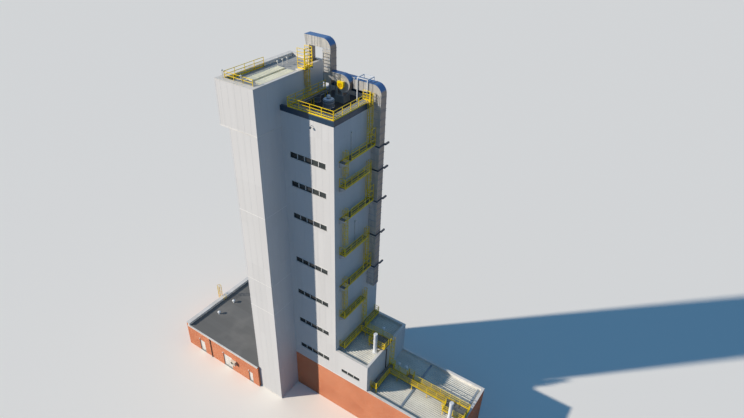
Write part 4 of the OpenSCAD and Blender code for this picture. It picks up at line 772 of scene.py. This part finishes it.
def spokes(centre, length, width):
    """Four bars that cross at the centre of a grille."""
    crossed = []
    for i in range(4):
        bar = row((length, width, width), (0, 0, 0))
        bar.transform(Matrix.Translation(centre) @ Matrix.Rotation(i * math.pi / 4, 4, "Y"))
        crossed.append(bar)
    return crossed


grille_y, grille_r, grille_bar = guard_low.y + 0.008, 0.155, 0.006
grille = [ring((fan_x, grille_y, fan_z), grille_r * i / 4, grille_bar, facing_front) for i in range(1, 5)]
grille += spokes((fan_x, grille_y + grille_bar, fan_z), 2 * grille_r, 0.008)
piece("fan_grille", grille, yellow)


# Flues, roof vents and the frame over the duct: rolled and welded steel tube in white enamel, with
# bolted bands; the fans on the main roof have grey cases under tops painted pale blue, a painted reflection
# of the sky
roof_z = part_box("main_roof")[1].z
lid_z = roof_z + 0.58


def vent_enamel():
    """White enamel on rolled sheet, greyed by weather; grey on the cases of the two roof fans, which end at
    the lid's height, and on their upward faces a pale blue that is a painted reflection of the sky."""
    material, tree, place = blank_material("vent_enamel")
    tall = add(tree, "ShaderNodeMapping", Vector=place, Scale=(9, 9, 1))
    runs = add(tree, "ShaderNodeTexNoise", Vector=tall, Scale=1, Detail=4)
    run_share = add(tree, "ShaderNodeMapRange", Value=runs, From_Min=0.45, From_Max=0.8, To_Max=0.5)
    white = add(tree, "ShaderNodeMix", {"data_type": "RGBA"}, Factor=run_share, A=colour("#e6e8e8"),
                B=colour("#aeb2b3"))
    # The two cases fill the metre below the lid's height, and no other vent stands there
    height = add(tree, "ShaderNodeSeparateXYZ", Vector=place).outputs["Z"]
    above = add(tree, "ShaderNodeMath", {"operation": "GREATER_THAN"}, _0=height, _1=lid_z - 1)
    below = add(tree, "ShaderNodeMath", {"operation": "LESS_THAN"}, _0=height, _1=lid_z + 0.005)
    case = add(tree, "ShaderNodeMath", {"operation": "MULTIPLY"}, _0=above, _1=below)
    normal = add(tree, "ShaderNodeSeparateXYZ", Vector=add(tree, "ShaderNodeNewGeometry").outputs["Normal"])
    # Painted reflection: upward faces of the cases take a pale blue for the sky
    up = add(tree, "ShaderNodeMath", {"operation": "GREATER_THAN"}, _0=normal.outputs["Z"], _1=0.7)
    grey = add(tree, "ShaderNodeMix", {"data_type": "RGBA"}, Factor=up, A=colour("#8a8b92"),
               B=colour("#e6eff8"))
    tone = add(tree, "ShaderNodeMix", {"data_type": "RGBA"}, Factor=case, A=white, B=grey)
    skin = add(tree, "ShaderNodeBsdfPrincipled", Base_Color=tone, Roughness=0.38)
    add(tree, "ShaderNodeOutputMaterial", Surface=skin)
    return material


white_enamel = enamel("white_enamel", "#e6e9eb", "#d7dbde", "#9ca1a4", 0.36)
dress(white_enamel, "duct_frame", "chimneys")
dress(vent_enamel(), "roof_vents")
flange_share, bolt_share, band_shares, band_bar, rim_bar = 1.5, 1.3, (0.3, 0.62), 0.012, 0.01
bands = []
for low, high in solids("chimneys"):
    centre, flue_r = (low + high) / 2, (high.x - low.x) / 2 / flange_share
    for share in band_shares:
        bands.append(ring((centre.x, centre.y, low.z + (high.z - low.z) * share), flue_r + 0.002, band_bar))
    bands.append(ring((centre.x, centre.y, high.z - rim_bar), flue_r, rim_bar))
    bands.append(bolts((centre.x, centre.y, low.z + 0.045), flue_r * bolt_share, 10, 0.013))
frame_low, frame_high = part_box("duct_frame")
post_w, shoe_w, shoe_t = 0.04, 0.12, 0.01
for x in (frame_low.x + post_w / 2, frame_high.x - post_w / 2):
    for y in (frame_low.y + post_w / 2, frame_high.y - post_w / 2):
        bands.append(row((shoe_w, shoe_w, shoe_t), (x, y, frame_low.z + shoe_t / 2)))
        bands.append(bolts((x, y, frame_low.z + 0.014), 0.05, 4, 0.009))
piece("flue_bands", bands, white_enamel)

# Of the three vents on the main roof, the thin one is a mast and the others are the fans
thin_w = 0.1
small_fan, round_fan = [box for box in solids("roof_vents")
                        if abs(box[0].z - roof_z) < 0.01 and box[1].x - box[0].x > thin_w]
fan_rings = []
for low, high in (round_fan, small_fan):
    centre, case_r = (low + high) / 2, (high.x - low.x) / 2
    for height, bar in ((0.04, 0.014), (0.3, 0.01)):
        fan_rings.append(ring((centre.x, centre.y, low.z + height), case_r, bar))
    fan_rings.append(bolts((centre.x, centre.y, low.z + 0.025), case_r + 0.03, 12))
piece("roof_fan_rings", fan_rings, white_enamel)


def dome(centre, radius, height):
    """A closed spun dome that stands on a level plane."""
    shell = bmesh.new()
    bmesh.ops.create_uvsphere(shell, u_segments=24, v_segments=12, radius=radius)
    low_half = [v for v in shell.verts if v.co.z < -1e-5]
    bmesh.ops.delete(shell, geom=low_half, context="VERTS")
    bmesh.ops.contextual_create(shell, geom=[e for e in shell.edges if e.is_boundary])
    for vert in shell.verts:
        vert.co = Vector(centre) + Vector((vert.co.x, vert.co.y, vert.co.z / radius * height))
    bmesh.ops.recalc_face_normals(shell, faces=shell.faces)
    mesh = bpy.data.meshes.new("dome")
    shell.to_mesh(mesh)
    shell.free()
    return mesh


hood_r, hood_h = 0.125, 0.1
round_mid = (round_fan[0] + round_fan[1]) / 2
motor_hood = dome((round_mid.x, round_mid.y, round_fan[1].z), hood_r, hood_h)
piece("fan_motor_hood", [motor_hood], white_enamel)


# Doors: white pressed-steel leaves, each with a kick plate along its foot and a cylinder lock in a plate
# above its pull
def door_paint():
    """White gloss paint on pressed steel: bright and smooth, scuffed and greyed near the ground."""
    material, tree, place = blank_material("white_door_gloss")
    height = add(tree, "ShaderNodeSeparateXYZ", Vector=place).outputs["Z"]
    low_down = add(tree, "ShaderNodeMapRange", Value=height, From_Min=0.05, From_Max=0.4, To_Min=1,
                   To_Max=0.1)
    scuff = add(tree, "ShaderNodeTexNoise", Vector=place, Scale=14, Detail=4)
    scuffed = add(tree, "ShaderNodeMapRange", Value=scuff, From_Min=0.42, From_Max=0.68)
    share = add(tree, "ShaderNodeMath", {"operation": "MULTIPLY"}, _0=low_down, _1=scuffed)
    tone = add(tree, "ShaderNodeMix", {"data_type": "RGBA"}, Factor=share, A=colour("#efece4"),
               B=colour("#9d978b"))
    skin = add(tree, "ShaderNodeBsdfPrincipled", Base_Color=tone, Roughness=0.3)
    add(tree, "ShaderNodeOutputMaterial", Surface=skin)
    return material


door_gloss = door_paint()
dress(door_gloss, "door_jambs", "door_heads", "door_1_leaf", "door_2_left_leaf", "door_2_right_leaf",
      "door_3_leaf")
pull_out, plate_t, kick_in, kick_z, kick_h = 0.026, 0.003, 0.04, 0.012, 0.065
lock_in, lock_share, lock_w, lock_h, key_r, key_bar = 0.045, 0.515, 0.032, 0.036, 0.007, 0.003
for leaf, lock_side in (("door_1", 1), ("door_2_left", 1), ("door_2_right", -1), ("door_3", 1)):
    low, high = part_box(leaf + "_leaf")
    front_y = low.y + pull_out
    lock_x = high.x - lock_in if lock_side == 1 else low.x + lock_in
    lock_z = low.z + (high.z - low.z) * lock_share + 0.006
    plates = [slab((low.x + kick_in, front_y - plate_t, low.z + kick_z),
                   (high.x - kick_in, front_y, low.z + kick_z + kick_h)),
              row((lock_w, plate_t, lock_h), (lock_x, front_y - plate_t / 2, lock_z)),
              ring((lock_x, front_y - 0.004, lock_z), key_r, key_bar, facing_front)]
    piece(leaf + "_plates", plates, zinc, leaf)


# Cooling unit and downpipes: a pressed casing on two wall brackets, its fan behind a welded guard, and
# painted sheet pipes held by clips
unit_coat = enamel("cream_unit_casing", "#f2ecda", "#e6dec6", "#b3aa90", 0.45)
pipe_paint = enamel("brown_pipe_paint", "#4b3f37", "#5e5249", "#2f2823", 0.5)
dress(unit_coat, "cooling_unit")
dress(pipe_paint, "downpipe")
unit_low, unit_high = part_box("cooling_unit")
fan_in, fan_down, guard_bar = 0.17, 0.18, 0.0035
fan_at = Vector((unit_low.x + fan_in, unit_low.y + 0.004, unit_high.z - fan_down))
guard = [ring(fan_at, r, guard_bar, facing_front) for r in (0.03, 0.055, 0.08, 0.105, 0.13)]
spoke_l, spoke_w = 0.27, 0.005
guard += spokes(fan_at, spoke_l, spoke_w)
slot_t, slot_h, slot_pitch, slots_in = 0.004, 0.28, 0.018, 0.13
guard.append(row((slot_t, slot_t, slot_h), (unit_high.x - slots_in, unit_low.y - 0.001, fan_at.z),
                 (slot_pitch, 0, 0), 6))
piece("unit_guard", guard, pipe_paint)


# Lamps: moulded white diffusers on the walls and on posts, fed through conduit that is clipped to the
# cladding, and one flood lamp under the walkway
def bent_tube(points, radius):
    """Round tube bent through the points, closed at both ends."""
    line = bpy.data.curves.new("tube", "CURVE")
    line.dimensions = "3D"
    line.bevel_depth = radius
    line.bevel_resolution = 1
    line.use_fill_caps = True
    run = line.splines.new("POLY")
    run.points.add(len(points) - 1)
    for point, place in zip(run.points, points):
        point.co = (*place, 1)
    maker = bpy.data.objects.new("tube", line)
    scene.collection.objects.link(maker)
    evaluated = maker.evaluated_get(bpy.context.evaluated_depsgraph_get())
    mesh = bpy.data.meshes.new_from_object(evaluated)
    bpy.data.objects.remove(maker)
    return mesh


lamp_plastic = enamel("moulded_lamp_plastic", "#eeede6", "#dfddd2", "#b2afa2", 0.3)
dress(lamp_plastic, "wall_lamps")
tube_r, clip_w, clip_t, clip_pitch = 0.014, 0.05, 0.02, 0.4
side_lamps = [box for box in solids("wall_lamps") if abs(box[0].x - main_high.x) < 0.001]
conduits, feet_z = [], (14.1, 20.5)
for (low, high), foot_z in zip(side_lamps, feet_z):
    x, y = main_high.x + joint_out + tube_r, (low.y + high.y) / 2
    conduits.append(bent_tube(((x, y, low.z), (x, y, foot_z)), tube_r))
    conduits.append(row((clip_t, clip_w, clip_t), (main_high.x + 0.012, y, foot_z + clip_pitch / 2),
                        (0, 0, clip_pitch), int((low.z - foot_z) / clip_pitch)))
piece("lamp_conduits", conduits, zinc)

flood_x, flood_z, flood_out, arm_up, tilt = 3.27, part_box("main_roof")[0].z, 0.15, 0.08, math.radians(35)
flood_at = Vector((flood_x, main_low.y - flood_out, flood_z))
flood = bmesh.new()
bmesh.ops.create_cone(flood, cap_ends=True, segments=4, radius1=0.08, radius2=0.05, depth=0.07)
flood.transform(Matrix.Translation(flood_at) @ Matrix.Rotation(tilt, 4, "X")
                @ Matrix.Rotation(math.pi / 4, 4, "Z"))
flood_case = bpy.data.meshes.new("flood_case")
flood.to_mesh(flood_case)
flood.free()
elbow = flood_at + Vector((0, 0, arm_up))
arm = bent_tube((elbow + Vector((0, flood_out, 0)), elbow, flood_at), tube_r)
piece("flood_lamp", [flood_case, arm], navy)


# Cabinet: a folded white box that stands on the shaft's roof beside the duct arch, under a lid that throws
# the rain off its walls
box_x, box_y, box_z = 0.02, 3.62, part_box("shaft_roof")[1].z
box_w, box_h, lid_w, lid_t = 0.2, 0.46, 0.24, 0.03
cabinet = [row((box_w, box_w, box_h), (box_x, box_y, box_z + box_h / 2)),
           row((lid_w, lid_w, lid_t), (box_x, box_y, box_z + box_h + lid_t / 2))]
piece("roof_cabinet", cabinet, white_enamel)
